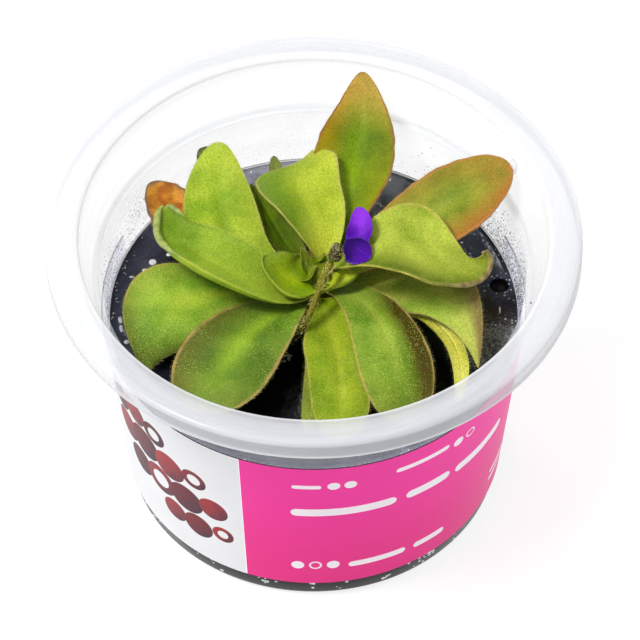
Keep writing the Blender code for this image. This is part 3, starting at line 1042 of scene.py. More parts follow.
@dataclass(frozen=True)
class Blade:
    """A leaf or petal: a curved midrib with a cupped section swept along it.

    heading, pitch, roll and cup are read in turn from root to tip, in degrees. shape gives the width in
    shares of width. cup bends each half upwards, and a curl adds a roll to the outer part of one half.
    skew slides the left margin on and the right one back towards the tip, in millimetres.
    """

    name: str
    root: Point
    heading: tuple[float, ...]
    pitch: tuple[float, ...]
    roll: tuple[float, ...]
    length: float
    width: float
    shape: tuple[float, ...]
    tip: float
    cup: tuple[float, ...]
    curl_left: tuple[float, ...] = (0,)
    curl_right: tuple[float, ...] = (0,)
    thick: float = 0.9
    rows: int = 72
    columns: int = 37
    ripple: float = 0.12
    wave: float = 0.15
    groove: float = 0.3
    skew: float = 0

    def direction(self, places: np.ndarray) -> np.ndarray:
        """Unit vectors along the midrib.

        Args:
            places: Places along the blade, from 0 to 1.

        Returns:
            One vector for each place.
        """
        heading = np.radians(blend(self.heading, places))
        pitch = np.radians(blend(self.pitch, places))
        return np.stack([np.cos(pitch) * np.cos(heading), np.cos(pitch) * np.sin(heading), np.sin(pitch)], -1)

    def midrib(self, places: np.ndarray) -> np.ndarray:
        """Points along the midrib.

        Args:
            places: Places along the blade, from 0 to 1.

        Returns:
            One point for each place.
        """
        fine = np.linspace(0, 1, MIDRIB_STEPS + 1)
        step = self.direction(fine) * (self.length / MIDRIB_STEPS)
        path = np.concatenate([[np.zeros(3)], np.cumsum(0.5 * (step[1:] + step[:-1]), axis=0)])
        path = path + np.array(self.root)
        return read_along(places, fine, path)

    def frame(self, places: np.ndarray) -> tuple[np.ndarray, np.ndarray]:
        """The directions to the left of the midrib and out of the upper face.

        Args:
            places: Places along the blade, from 0 to 1.

        Returns:
            The vectors to the left and the vectors out.
        """
        along = self.direction(places)
        heading = np.radians(blend(self.heading, places))
        roll = np.radians(blend(self.roll, places))[:, None]
        level = np.stack([-np.sin(heading), np.cos(heading), np.zeros_like(heading)], -1)
        up = np.cross(along, level)
        return level * np.cos(roll) + up * np.sin(roll), up * np.cos(roll) - level * np.sin(roll)

    def faces(self, seed: int) -> tuple[np.ndarray, np.ndarray, np.ndarray, np.ndarray, np.ndarray]:
        """Lay out both faces.

        Args:
            seed: The seed of the blade's own unevenness.

        Returns:
            The upper points, the lower points, the normals, the places along and the places across.
        """
        along = 1 - (1 - np.linspace(0, 1, self.rows)) ** 1.5
        spread = np.linspace(-1, 1, self.columns)
        across = np.sin(0.5 * math.pi * spread) * 0.35 + spread * 0.65
        half = 0.5 * self.width * blend(self.shape, along) * np.sqrt(np.maximum(1 - along**self.tip, 0))
        draw = np.random.default_rng(seed)
        around = along[:, None] * TURN
        edge_waves = sum(
            draw.uniform(0.4, 1) * np.sin(around * count + draw.uniform(0, 6.3, 2))
            for count in (3, 5, 9, 14)
        )
        left, up = self.frame(along)
        spine = self.midrib(along)
        points = np.zeros((self.rows, self.columns, 3))
        normals = np.zeros_like(points)
        fine = np.linspace(0, 1, SECTION_STEPS + 1)
        ramp = ease(fine, 0.6, 1)
        for side, curl in ((1, self.curl_left), (-1, self.curl_right)):
            bend = np.radians(blend(self.cup, along))[:, None] * fine
            bend = bend + np.radians(blend(curl, along))[:, None] * ramp
            middle = 0.5 * (bend[:, 1:] + bend[:, :-1])
            start = np.zeros((self.rows, 1))
            out = np.concatenate([start, np.cumsum(np.cos(middle), axis=1) / SECTION_STEPS], axis=1)
            rise = np.concatenate([start, np.cumsum(np.sin(middle), axis=1) / SECTION_STEPS], axis=1)
            waved = half * (1 + self.wave * 0.2 * edge_waves[:, int(side > 0)] / max(self.width, 4) * 1.6)
            for column in np.nonzero(across * side >= 0)[0]:
                spot = abs(across[column])
                width = half + (waved - half) * ease(np.array(spot), 0.3, 1)
                reach, lift, lean = (
                    np.array([np.interp(spot, fine, line) for line in lines]) for lines in (out, rise, bend)
                )
                reach = width * reach * side
                lift = width * lift
                lean = lean * side
                points[:, column] = spine + reach[:, None] * left + lift[:, None] * up
                normals[:, column] = np.cos(lean)[:, None] * up - np.sin(lean)[:, None] * left
        slant = self.skew * across[None, :] * ease(along, 0.4, 1)[:, None]
        points += self.direction(along)[:, None, :] * slant[..., None]
        free = ease(along, 0.15, 0.5)[:, None]
        uneven = Wobble(seed, 7).at(points) * 0.7 + Wobble(seed + 1, 2.6).at(points) * 0.3
        furrow = np.exp(-((across[None, :] / 0.13) ** 2)) * (1 - ease(along, 0.6, 1))[:, None]
        depth = self.thick * (0.35 + 0.65 * (1 - across[None, :] ** 2))
        depth = depth * np.sqrt(1 - 0.7 * along[:, None] ** 4)
        lower = points - normals * depth[..., None] + normals * (self.ripple * uneven * free)[..., None]
        upper = points + normals * (self.ripple * uneven * free - self.groove * furrow * free)[..., None]
        return upper, lower, normals, along, across

    def shape_of(self, seed: int) -> Shape:
        """Close the blade between its two faces.

        Args:
            seed: The seed of the blade's own unevenness.

        Returns:
            The shape, with the place across and along in its layout, and its under face as part 1.
        """
        upper, lower, _, along, across = self.faces(seed)
        rows = self.rows - 1
        columns = self.columns
        middle = columns // 2
        grids = [upper[:-1].reshape(-1, 3), lower[:-1].reshape(-1, 3)]
        points = np.concatenate([*grids, upper[-1:, middle], lower[-1:, middle]])
        grid = np.stack(np.meshgrid(0.5 + 0.5 * across, along[:-1]), -1).reshape(-1, 2)
        layout = np.concatenate([grid, grid, [[0.5, 1], [0.5, 1]]])
        below = rows * columns
        tip = 2 * below
        faces: Faces = []
        parts: list[int] = []
        for row in range(rows - 1):
            for column in range(columns - 1):
                corner = row * columns + column
                quad = (corner, corner + columns, corner + columns + 1, corner + 1)
                faces.append(quad)
                faces.append(tuple(below + index for index in reversed(quad)))
                parts += [0, 1]
            for column in (0, columns - 1):
                corner = row * columns + column
                faces.append((corner, below + corner, below + corner + columns, corner + columns))
                parts.append(0)
        for column in range(columns - 1):
            end = (rows - 1) * columns + column
            faces.append((column, column + 1, below + column + 1, below + column))
            faces.append((end, tip, end + 1))
            faces.append((below + end, below + end + 1, tip + 1))
            parts += [1, 0, 1]
        for column in (0, columns - 1):
            end = (rows - 1) * columns + column
            faces.append((end, below + end, tip + 1, tip))
            parts.append(0)
        return Shape(self.name, points, faces, layout, {}, np.array(parts))


@dataclass(frozen=True)
class Roll:
    """A thick rolled lip along one margin of a blade, towards its tip and a little round it."""

    left: bool
    start: float
    radius: float
    hook: tuple[Point, ...] = ()
    colour: Colour = rgb(140, 128, 60)
    shade: Colour = rgb(96, 84, 40)

    def build(self, blade: Blade, seed: int, slot: str) -> None:
        """Lay the lip along the blade's margin.

        Args:
            blade: The blade.
            seed: The seed of the blade's unevenness.
            slot: The blade's material slot.
        """
        upper, _, normals, along, _ = blade.faces(seed)
        column = -1 if self.left else 0
        keep = along > self.start
        path = upper[keep, column] - normals[keep, column] * (0.55 * self.radius)
        if self.hook:
            path = np.concatenate([path, path[-1] + np.array(self.hook)])
        arc = run_along(path)
        even = np.linspace(0, arc[-1], 60)
        path = read_along(even, arc, path)
        for _ in range(4):
            path[1:-1] = 0.25 * path[:-2] + 0.5 * path[1:-1] + 0.25 * path[2:]
        share = even / arc[-1]
        radii = self.radius * (0.12 + 0.88 * ease(share, 0, 0.4)) * (1 - 0.5 * ease(share, 0.85, 1))
        side = "left" if self.left else "right"
        shape = Shape(f"{blade.name.removesuffix('_blade')}_roll_{side}", *tube(path, radii, 14))
        shape.build([PlainFinish(self.colour, self.shade, 0.5).material(shape.name)], slot)


CROWN = (1, 1.5)


def crown_root(bearing: float, reach: float, rise: float) -> Point:
    """The point at a bearing, reach and height from the crown's axis."""
    turn = math.radians(bearing)
    return CROWN[0] + reach * math.cos(turn), CROWN[1] + reach * math.sin(turn), rise


def joined(name: str, groups: Sequence[Solid]) -> Shape:
    """Join groups of points and faces into one shape, with one part for each group.

    Args:
        name: The piece's name.
        groups: The points and faces of each group.

    Returns:
        The shape.
    """
    faces: Faces = []
    parts: list[int] = []
    first = 0
    for part, (points, sides) in enumerate(groups):
        faces += [tuple(first + corner for corner in side) for side in sides]
        parts += [part] * len(sides)
        first += len(points)
    return Shape(name, np.concatenate([points for points, _ in groups]), faces, parts=np.array(parts))


def balls(centres: np.ndarray, sizes: np.ndarray, turns: Sequence[Matrix] | None = None) -> Solid:
    """Make one smooth ball at each centre.

    Args:
        centres: Where the balls are, in millimetres.
        sizes: Their half sizes along X, Y and Z.
        turns: How each one is turned, if at all.

    Returns:
        The points and faces of all of them.
    """
    work = bmesh.new()
    bmesh.ops.create_icosphere(work, subdivisions=2, radius=1)
    work.verts.ensure_lookup_table()
    base = np.array([vertex.co[:] for vertex in work.verts])
    sides = [tuple(vertex.index for vertex in face.verts) for face in work.faces]
    work.free()
    points = []
    faces: Faces = []
    for index, (centre, size) in enumerate(zip(centres, sizes)):
        ball = base * size
        if turns is not None:
            ball = ball @ np.array(turns[index].to_3x3()).T
        points.append(ball + centre)
        faces += [tuple(len(base) * index + corner for corner in side) for side in sides]
    return np.concatenate(points), faces


class Slot(Enum):
    """The record's material slots."""

    CUP = "clear_cup"
    LABEL_WHITE = "label_white"
    LABEL_PINK = "label_pink"
    GEL = "gel"
    CROWN = "crown"
    GREEN = "leaf_green"
    LIME = "leaf_lime"
    OLIVE = "leaf_olive"
    ORANGE = "leaf_orange"
    STEM = "stem"
    CALYX = "calyx"
    VIOLET = "petal_violet"
    BLUE = "petal_blue"


@dataclass(frozen=True)
class Ring:
    """One ring of the cup's profile: how cloudy and damp the plastic is there, how much painted shade it
    takes, and how much painted darkness stands in for the gel seen through its foot.
    """

    radius: float
    height: float
    cloudy: float
    shade: float = 0
    damp: float = 0
    dark: float = 0


@dataclass
class Cup:
    """The thin clear cup: tapered wall, ledge, flared upper wall, flat rim and skirt."""

    base_radius: float = 33
    slope: float = 0.105
    wall: float = 0.55
    floor: float = 0.8
    ledge: float = 50.6
    ledge_out: float = 0.9
    upper_radius: float = 41.6
    rim_radius: float = 47.5
    rim_height: float = 60.5
    rim_thick: float = 0.7
    skirt_height: float = 56.5
    skirt_thick: float = 0.8
    segments: int = 192
    droplets: int = 4200
    speck_centre: Point = (38.35, -8.2, 51.7)
    drop_centre: Point = (35.5, 19.7, 56.1)
    finish: PlasticFinish = PlasticFinish()

    def outside(self, height: float) -> float:
        """The outer radius of the lower wall at a height."""
        return self.base_radius + self.slope * height

    def inside(self, height: float) -> float:
        """The inner radius of the lower wall at a height."""
        return self.outside(height) - self.wall

    def rings(self) -> list[Ring]:
        """The profile, from the middle of the base round to the middle of the floor.

        Returns:
            The rings, in order.
        """
        edge = self.outside(self.ledge - self.wall)
        hollow = self.inside(self.ledge) + self.ledge_out
        step = edge + self.ledge_out
        flare = self.upper_radius + self.wall
        bore = self.upper_radius
        rim = self.rim_radius
        top = self.rim_height
        under = top - self.rim_thick
        skirt = rim - self.skirt_thick
        foot = self.skirt_height

        def outer(height: float, *look: float, dark: float = 0) -> Ring:
            """A ring on the outside of the lower wall."""
            return Ring(self.outside(height), height, *look, dark=dark)

        def inner(height: float, *look: float, dark: float = 0) -> Ring:
            """A ring on the inside of the lower wall."""
            return Ring(self.inside(height), height, *look, dark=dark)

        return [
            # dark is painted darkness at the foot and floor, standing in for the gel seen through them.
            Ring(0, 0, 0.02, dark=1),
            Ring(self.base_radius - 1.1, 0, 0.02, dark=1),
            Ring(self.base_radius - 0.6, 0.08, 0.05, dark=1),
            Ring(self.base_radius - 0.25, 0.32, 0.05, dark=1),
            outer(1, 0.02, dark=1),
            outer(4.6, 0.02, dark=0.9),
            outer(7, 0.02),
            outer(20, 0.02),
            outer(40, 0.03, 0.2),
            outer(44, 0.06, 0.2),
            Ring(edge, self.ledge - self.wall, 0.2, 0.2),
            Ring(edge + 0.5, self.ledge - 0.45, 0.3, 0.5),
            Ring(step, self.ledge - 0.25, 0.3, 0.5),
            Ring(step + 0.2, self.ledge + 0.6, 0.12, 0.15),
            Ring(flare - 0.5, under - 4, 0.12, 0.15),
            Ring(flare - 0.1, under - 0.6, 0.14, 0.15),
            Ring(flare + 0.1, under - 0.15, 0.35, 0.2),
            Ring(flare + 0.5, under, 0.4),
            Ring(skirt - 0.5, under, 0.4),
            Ring(skirt - 0.15, under - 0.15, 0.4),
            Ring(skirt, under - 0.5, 0.4, 0.05),
            Ring(skirt, foot + 0.2, 0.4, 0.05),
            Ring(skirt + 0.2, foot, 0.8),
            Ring(rim - 0.2, foot, 0.9),
            Ring(rim, foot + 0.2, 0.8),
            Ring(rim, foot + 0.8, 0.42, 0.32),
            Ring(rim, top - 1, 0.42, 0.32),
            Ring(rim, top - 0.7, 0.7, 0.25),
            Ring(rim - 0.1, top - 0.5, 0.75, 0.2),
            Ring(rim - 0.35, top - 0.2, 0.75, 0.3),
            Ring(rim - 1, top, 0.7, 0.3),
            Ring(rim - 1.7, top, 0.6, 0.3),
            Ring(rim - 2.8, top, 0.6, 0.26),
            Ring(rim - 4.2, top, 0.45, 0.26),
            Ring(bore + 0.9, top, 0.55, 0.2),
            # Painted highlight along the flange's inner edge.
            Ring(bore + 0.3, top - 0.1, 0.85),
            Ring(bore + 0.05, top - 0.35, 0.6, 0.3),
            Ring(bore - 0.1, top - 0.9, 0.2, 0.45),
            Ring(bore - 0.6, top - 3, 0.12, 0.15),
            Ring(hollow + 0.25, self.ledge + 1.6, 0.12, 0.15, 0.2),
            Ring(hollow, self.ledge + 0.35, 0.2, 0.5, 0.2),
            Ring(hollow - 0.3, self.ledge, 0.35, 0.6, 0.2),
            Ring(self.inside(self.ledge), self.ledge - 0.05, 0.2, 0.4, 0.3),
            inner(self.ledge - 0.6, 0.12, 0.1, 0.5),
            inner(46, 0.14, 0.1, 0.8),
            inner(43.5, 0.2, 0, 1),
            inner(40, 0.2, 0, 0.8),
            inner(39.1, 0.2, 0, 0.3),
            # Painted highlight: the bright line along the gel's edge, seen on the wall.
            inner(38.95, 0.95),
            inner(38.75, 0.95),
            inner(38.6, 0.3),
            inner(37.6, 0.05),
            inner(30, 0.01),
            inner(5, 0.01),
            inner(2.2, 0.01, dark=0.6),
            Ring(self.inside(self.floor) - 0.05, self.floor + 0.5, 0.01, dark=1),
            Ring(self.inside(self.floor) - 0.7, self.floor, 0.01, dark=1),
            Ring(0, self.floor, 0.01, dark=1),
        ]

    def build(self) -> None:
        """Turn the cup and dress it, and add what sticks to its wall."""
        rings = self.rings()
        profile = np.array([(ring.radius, ring.height) for ring in rings])
        shape = turned("cup_clear", profile, self.segments)
        self._read_rings(shape, rings)
        shape.build([self.finish.material("clear plastic")], Slot.CUP.value, ["cup"])
        self._add_mist()
        self._add_drop()

    def _read_rings(self, shape: Shape, rings: list[Ring]) -> None:
        """Store how the plastic looks at each point: clearer round the back, with the rim's and skirt's
        painted shade strongest at the front, and damp at the two sides.

        Args:
            shape: The turned cup.
            rings: The rings of its profile.
        """
        turns = np.arctan2(shape.points[:, 1], shape.points[:, 0])
        right = 0.75 * np.exp(-(((turns - 0.05) / 0.55) ** 2))
        left = 0.8 * np.exp(-(((turns - 2.9) / 0.4) ** 2))
        sides = 0.25 + right + left

        def spread(values: list[float]) -> np.ndarray:
            """Give each ring's value to its points."""
            return np.concatenate([np.repeat(values[1:-1], self.segments), [values[0], values[-1]]])

        shape.readings["cloudy"] = spread([ring.cloudy for ring in rings])
        # Painted shade on the rim and skirt, strongest at the front and faint round the back.
        front = 0.2 + 0.8 * ease(-np.sin(turns), 0.5, 0.85)
        near_half = 0.4 + 0.6 * ease(-np.sin(turns), -0.2, 0.25)
        heights = shape.points[:, 2]
        out_of_top = (heights < self.rim_height - 0.1) & (heights > self.skirt_height - 0.1)
        on_skirt = out_of_top & (np.hypot(shape.points[:, 0], shape.points[:, 1]) > self.rim_radius - 1.5)
        shape.readings["shade"] = spread([ring.shade for ring in rings]) * np.where(out_of_top, front, 1)
        shape.readings["cloudy"] *= np.where(on_skirt, near_half, 1)
        shape.readings["dark"] = spread([ring.dark for ring in rings])
        shape.readings["damp"] = spread([ring.damp for ring in rings]) * sides

    def _add_mist(self) -> None:
        """Add the fine droplets on the inside of the wall, thickest near the gel on the right."""
        draw = np.random.default_rng(11)
        on_right = draw.random(self.droplets) < 0.88
        right = draw.normal(0.16, 0.34, self.droplets)
        turns = np.where(on_right, right, draw.normal(2.85, 0.3, self.droplets))
        heights = 39.2 + np.abs(draw.normal(0, 4.2, self.droplets))
        keep = heights < self.ledge - 1
        turns = turns[keep]
        heights = heights[keep]
        radii = self.inside(heights) - 0.02
        sizes = 0.04 + 0.11 * draw.random(len(turns)) ** 2.5
        shape = Shape("mist", *beads(polar(radii, turns, heights), sizes))
        finish = PlainFinish(rgb(160, 162, 178), rgb(100, 102, 120), 0.2, 0.65)
        shape.build([finish.material("mist")], Slot.CUP.value)
        speck = Shape("speck", *balls(np.array([self.speck_centre]), np.array([[0.17, 0.17, 0.22]])))
        speck.build([PlainFinish(rgb(20, 16, 18), rgb(8, 6, 8)).material("speck")], Slot.CUP.value)

    def _add_drop(self) -> None:
        """Add the water drop between the wall and the tip of a leaf."""
        turn = Matrix.Rotation(math.radians(29.5), 4, "Z") @ Matrix.Rotation(math.radians(14), 4, "Y")
        size = np.array([[0.4, 1.25, 1.6]])
        shape = Shape("water_drop", *balls(np.array([self.drop_centre]), size, [turn]))
        shape.build([WaterFinish().material("water")], Slot.CUP.value)


@dataclass(frozen=True)
class WaterFinish:
    """Clear water, seen mostly by its edge, which painted shade darkens where it turns away."""

    tint: Colour = rgb(236, 240, 246)
    edge: Colour = rgb(110, 114, 126)

    def material(self, name: str) -> Material:
        """The water's material.

        Args:
            name: The material's name.

        Returns:
            The material.
        """
        tree = ShaderTree(name)
        facing = tree.node("ShaderNodeLayerWeight", {}, {"Blend": 0.4}, "Facing")
        cloud = tree.noise(tree.place(), 0.6, 2)
        # Painted shade: the edge turns grey where it faces away.
        rim = facing.rise(0.45, 0.9)
        return tree.surface({
            "Base Color": tree.mix(rim, self.tint, self.edge),
            "Roughness": 0.04 + cloud * 0.05,
            "Alpha": 0.15 + rim * 0.6,
            "Normal": tree.bump(cloud, 0.02, 0.4),
        })


@dataclass
class Wrap:
    """The paper wrap: a white panel and a pink one, side by side round the lower wall."""

    low: float = 4.4
    high: float = 41.6
    thick: float = 0.2
    start: float = -205
    join: float = -110.5
    end: float = 25
    join_gap: float = 0.04
    radius: float = 36
    step: float = 1.25
    rows: int = 13

    def build(self, cup: Cup) -> None:
        """Build both panels round the cup.

        Args:
            cup: The cup that they are wrapped round.
        """
        half_gap = 0.5 * self.join_gap
        back = PaperBack().material("paper back")
        self._panel(cup, "label_white_paper", self.start, self.join - half_gap).build(
            [WhitePaper().material("white paper"), back], Slot.LABEL_WHITE.value, ["label_white"]
        )
        self._panel(cup, "label_pink_paper", self.join + half_gap, self.end).build(
            [PinkPaper().material("pink paper"), back], Slot.LABEL_PINK.value, ["label_pink"]
        )

    def _panel(self, cup: Cup, name: str, start: float, end: float) -> Shape:
        """Lay out one panel.

        Args:
            cup: The cup that it is wrapped round.
            name: The piece's name.
            start: The angle of its first edge.
            end: The angle of its last edge.

        Returns:
            The panel, with its printed layout in millimetres from the join and from its foot.
        """
        heights = np.linspace(self.low, self.high, self.rows)
        outer = np.stack([cup.outside(heights) + GAP + self.thick, heights], -1)
        inner = np.stack([cup.outside(heights[::-1]) + GAP, heights[::-1]], -1)
        section = np.concatenate([outer, inner])
        turns = np.radians(np.linspace(start, end, int(round((end - start) / self.step)) + 1))
        points = polar(section[:, 0], turns[:, None], section[:, 1]).reshape(-1, 3)
        along = np.repeat((turns - math.radians(self.join)) * self.radius, len(section))
        layout = np.stack([along, points[:, 2]], -1)
        corners = len(section)
        faces: Faces = []
        parts: list[int] = []
        for row in range(len(turns) - 1):
            for corner in range(corners):
                here = row * corners + corner
                beside = row * corners + (corner + 1) % corners
                faces.append((here, beside, beside + corners, here + corners))
                parts.append(0 if corner < self.rows - 1 else 1)
        last = corners * (len(turns) - 1)
        for row in range(self.rows - 1):
            quad = (row, row + 1, corners - 2 - row, corners - 1 - row)
            faces.append(quad)
            faces.append(tuple(last + corner for corner in reversed(quad)))
            parts += [1, 1]
        return Shape(name, points, faces, layout, {}, np.array(parts))


@dataclass
class Gel:
    """The dark gel: a raised edge, a slightly uneven top, a pit, a socket for the crown, and bubbles.

    Each glint is a painted highlight, a flat white blob on the gel, with its place east and north and its two
    half sizes.
    """

    top: float = 38.2
    meniscus: float = 0.5
    meniscus_width: float = 0.8
    pit_centre: tuple[float, float] = (33.2, 7.2)
    glints: tuple[tuple[float, float, float, float], ...] = (
        (-26.2, 17.1, 0.9, 0.3), (-26, 14.4, 0.5, 0.4), (-28.9, 12.6, 0.7, 0.7), (-30.3, 10.7, 0.45, 0.4),
        (-32.6, 9.1, 0.5, 0.3), (-34.5, -0.9, 0.4, 0.8), (-34.3, -2.9, 0.35, 0.9), (-33.3, -6, 0.5, 0.5),
        (33.2, 1.4, 0.16, 0.9), (34.2, -0.7, 0.22, 0.24), (32.4, -2.1, 0.14, 0.14), (33.2, -2, 0.15, 0.12),
        (34.5, 9.9, 0.2, 0.22), (31.9, 9.2, 0.14, 0.14), (35, 8.5, 0.24, 0.16), (35.3, 6.1, 0.18, 0.2),
        (30.5, 5.9, 0.18, 0.12), (26.6, 17.2, 0.26, 0.2), (28, 14.6, 0.22, 0.18),
    )
    pit_radius: float = 1.75
    socket_radius: float = 2.3
    socket_floor: float = 30.2
    gap: float = 0.08
    edge_bubbles: int = 150
    pit_bubbles: int = 26
    low_groups: int = 44
    segments: int = 192
    finish: GelFinish = GelFinish()

    def build(self, cup: Cup) -> None:
        """Build the gel inside the cup, and what lies on it.

        Args:
            cup: The cup that holds it.
        """
        gel = self._body(cup)
        gel.build([self.finish.material("gel")], Slot.GEL.value, ["gel"])
        self._add_bubbles_and_painted_glints(cup)
        self._add_litter()

    def _body(self, cup: Cup) -> Shape:
        """The gel's mass, with its pit and socket cut out.

        Args:
            cup: The cup that holds it.

        Returns:
            The shape.
        """
        low = cup.floor + self.gap

        def edge(height: float) -> float:
            """The gel's outer radius at a height."""
            return cup.inside(height) - self.gap

        side = [
            (0, low),
            (edge(low) - 0.72, low),
            (edge(low) - 0.5, low + 0.12),
            (edge(low + 0.5) - 0.06, low + 0.5),
            (edge(low + 0.8), low + 0.8),
            (edge(12), 12),
            (edge(24), 24),
            (edge(36), 36),
            (edge(self.top + self.meniscus) - 0.02, self.top + self.meniscus - 0.1),
            (edge(self.top + self.meniscus) - 0.06, self.top + self.meniscus),
            (edge(self.top) - 0.2 * self.meniscus_width, self.top + 0.5 * self.meniscus),
            (edge(self.top) - 0.5 * self.meniscus_width, self.top + 0.18 * self.meniscus),
            (edge(self.top) - self.meniscus_width, self.top),
        ]
        inner = [(radius, self.top) for radius in np.linspace(edge(self.top) - 2.2, 0, 64)]
        shape = turned("gel_body", np.array(side + inner), self.segments)
        points = shape.points
        radius = np.hypot(points[:, 0], points[:, 1])
        on_top = (points[:, 2] > self.top - 0.01) & (radius < edge(self.top) - 0.3)
        flat = points * np.array([1, 1, 0])
        swell = Wobble(3, 9).at(flat) * 0.6 + Wobble(5, 3.4).at(flat) * 0.4
        calm = 1 - ease(radius, 34.5, 36)
        near_pit = np.hypot(points[:, 0] - self.pit_centre[0], points[:, 1] - self.pit_centre[1])
        points[:, 2] += np.where(on_top, (0.08 * swell - 0.03) * calm * ease(near_pit, 2, 3.5), 0)
        body = self._mesh_object(shape)
        arc = [(math.cos(turn), math.sin(turn)) for turn in np.radians(np.linspace(-78, 0, 9))]
        pit = np.array([(0, -1), *arc, (1, 1), (0, 1)]) * self.pit_radius
        cutter = turned("pit", pit, 48)
        cutter.points = cutter.points + np.array([*self.pit_centre, self.top - 0.3])
        self._cut(body, cutter)
        high = self.top + 2
        socket = [(0, self.socket_floor), (self.socket_radius, self.socket_floor)]
        socket += [(self.socket_radius, high), (0, high)]
        cutter = turned("socket", np.array(socket), 48)
        cutter.points = cutter.points + np.array([*CROWN, 0])
        self._cut(body, cutter)
        shape.points = np.array([vertex.co[:] for vertex in body.data.vertices]) / MM
        shape.faces = [tuple(polygon.vertices) for polygon in body.data.polygons]
        bpy.data.objects.remove(body, do_unlink=True)
        return shape

    def _mesh_object(self, shape: Shape) -> Any:
        """Make a plain object from a shape, to be cut with.

        Args:
            shape: The shape.

        Returns:
            The object.
        """
        mesh = shape.mesh()
        made = bpy.data.objects.new(shape.name + "_work", mesh)
        bpy.context.scene.collection.objects.link(made)
        return made

    def _cut(self, body: Any, cutter_shape: Shape) -> None:
        """Take a closed shape away from an object.

        Args:
            body: The object, which is changed.
            cutter_shape: The shape to take away.
        """
        cutter = self._mesh_object(cutter_shape)
        tool = body.modifiers.new("Cut", "BOOLEAN")
        tool.operation = "DIFFERENCE"
        tool.solver = "EXACT"
        tool.object = cutter
        depsgraph = bpy.context.evaluated_depsgraph_get()
        shaped = bpy.data.meshes.new_from_object(body.evaluated_get(depsgraph))
        body.modifiers.clear()
        body.data = shaped
        bpy.data.objects.remove(cutter, do_unlink=True)

    def _add_bubbles_and_painted_glints(self, cup: Cup) -> None:
        """Add pale bubbles along the gel's upper edge and low on its side, and the glints on its top: flat
        white blobs that are painted highlights.

        Args:
            cup: The cup that holds the gel.
        """
        draw = np.random.default_rng(23)
        turns = draw.uniform(0, TURN, self.edge_bubbles)
        reach = cup.inside(self.top) - GAP - np.abs(draw.normal(0.3, 0.5, self.edge_bubbles))
        rise = self.top + 0.3 * np.exp(-(cup.inside(self.top) - GAP - reach))
        sizes = draw.uniform(0.07, 0.19, self.edge_bubbles)
        top = polar(reach, turns, rise)
        around = draw.uniform(0, TURN, self.pit_bubbles)
        far = self.pit_radius + np.abs(draw.normal(0.5, 0.8, self.pit_bubbles))
        near = polar(far, around, self.top) + np.array([*self.pit_centre, 0])
        inside = np.hypot(near[:, 0], near[:, 1]) < cup.inside(self.top) - 0.8
        near = near[inside]
        near_sizes = draw.uniform(0.06, 0.16, self.pit_bubbles)[inside]
        round_sizes = np.repeat(np.concatenate([sizes, near_sizes])[:, None], 3, axis=1)
        low = []
        low_sizes = []
        turned_by = []
        for group in draw.uniform(0, TURN, self.low_groups):
            for _ in range(int(draw.integers(1, 6))):
                height = float(np.clip(draw.normal(2.6, 1), 1.5, 4.4))
                turn = group + draw.normal(0, 0.022)
                size = draw.uniform(0.18, 0.46)
                radius = cup.outside(height) - 0.02
                low.append((radius * math.cos(turn), radius * math.sin(turn), height))
                low_sizes.append((0.06, size, size * draw.uniform(0.7, 1)))
                turned_by.append(Matrix.Rotation(turn, 4, "Z"))
        # Painted highlights: flat white blobs where the wet gel would reflect the light.
        for east, north, wide, deep in self.glints:
            low.append((east, north, self.top))
            low_sizes.append((wide, deep, 0.09))
            turned_by.append(Matrix.Rotation(draw.uniform(-0.3, 0.3), 4, "Z"))
        centres = np.concatenate([top, near, np.array(low)])
        turns_all = [Matrix.Identity(4)] * len(round_sizes) + turned_by
        sizes_all = np.concatenate([round_sizes, np.array(low_sizes)])
        shape = Shape("bubbles", *balls(centres, sizes_all, turns_all))
        finish = PlainFinish(rgb(250, 250, 250), rgb(206, 210, 216), 0.2, 0.9)
        shape.build([finish.material("bubble_and_painted_glint")], Slot.GEL.value)

    def _add_litter(self) -> None:
        """Add a pale flake and a thin pale curl that lie on the gel."""
        draw = np.random.default_rng(31)
        centres = np.array([-4.3, -9.6, 38.45]) + draw.normal(0, 0.45, (14, 3)) * np.array([1, 1, 0.25])
        sizes = draw.uniform(0.1, 0.32, (14, 3))
        turn = np.radians(np.linspace(-20, 190, 20))
        east = 11.2 + 0.9 * np.cos(turn)
        north = 25.6 + 0.55 * np.sin(turn)
        curl = np.stack([east, north, 38.5 + 0.15 * np.sin(turn * 2)], -1)
        shape = joined("litter", [balls(centres, sizes), tube(curl, np.full(20, 0.11), 8)])
        flake = PlainFinish(rgb(206, 204, 186), rgb(120, 120, 104)).material("flake")
        pale = PlainFinish(rgb(226, 214, 206), rgb(184, 160, 150)).material("curl")
        shape.build([flake, pale], Slot.GEL.value)


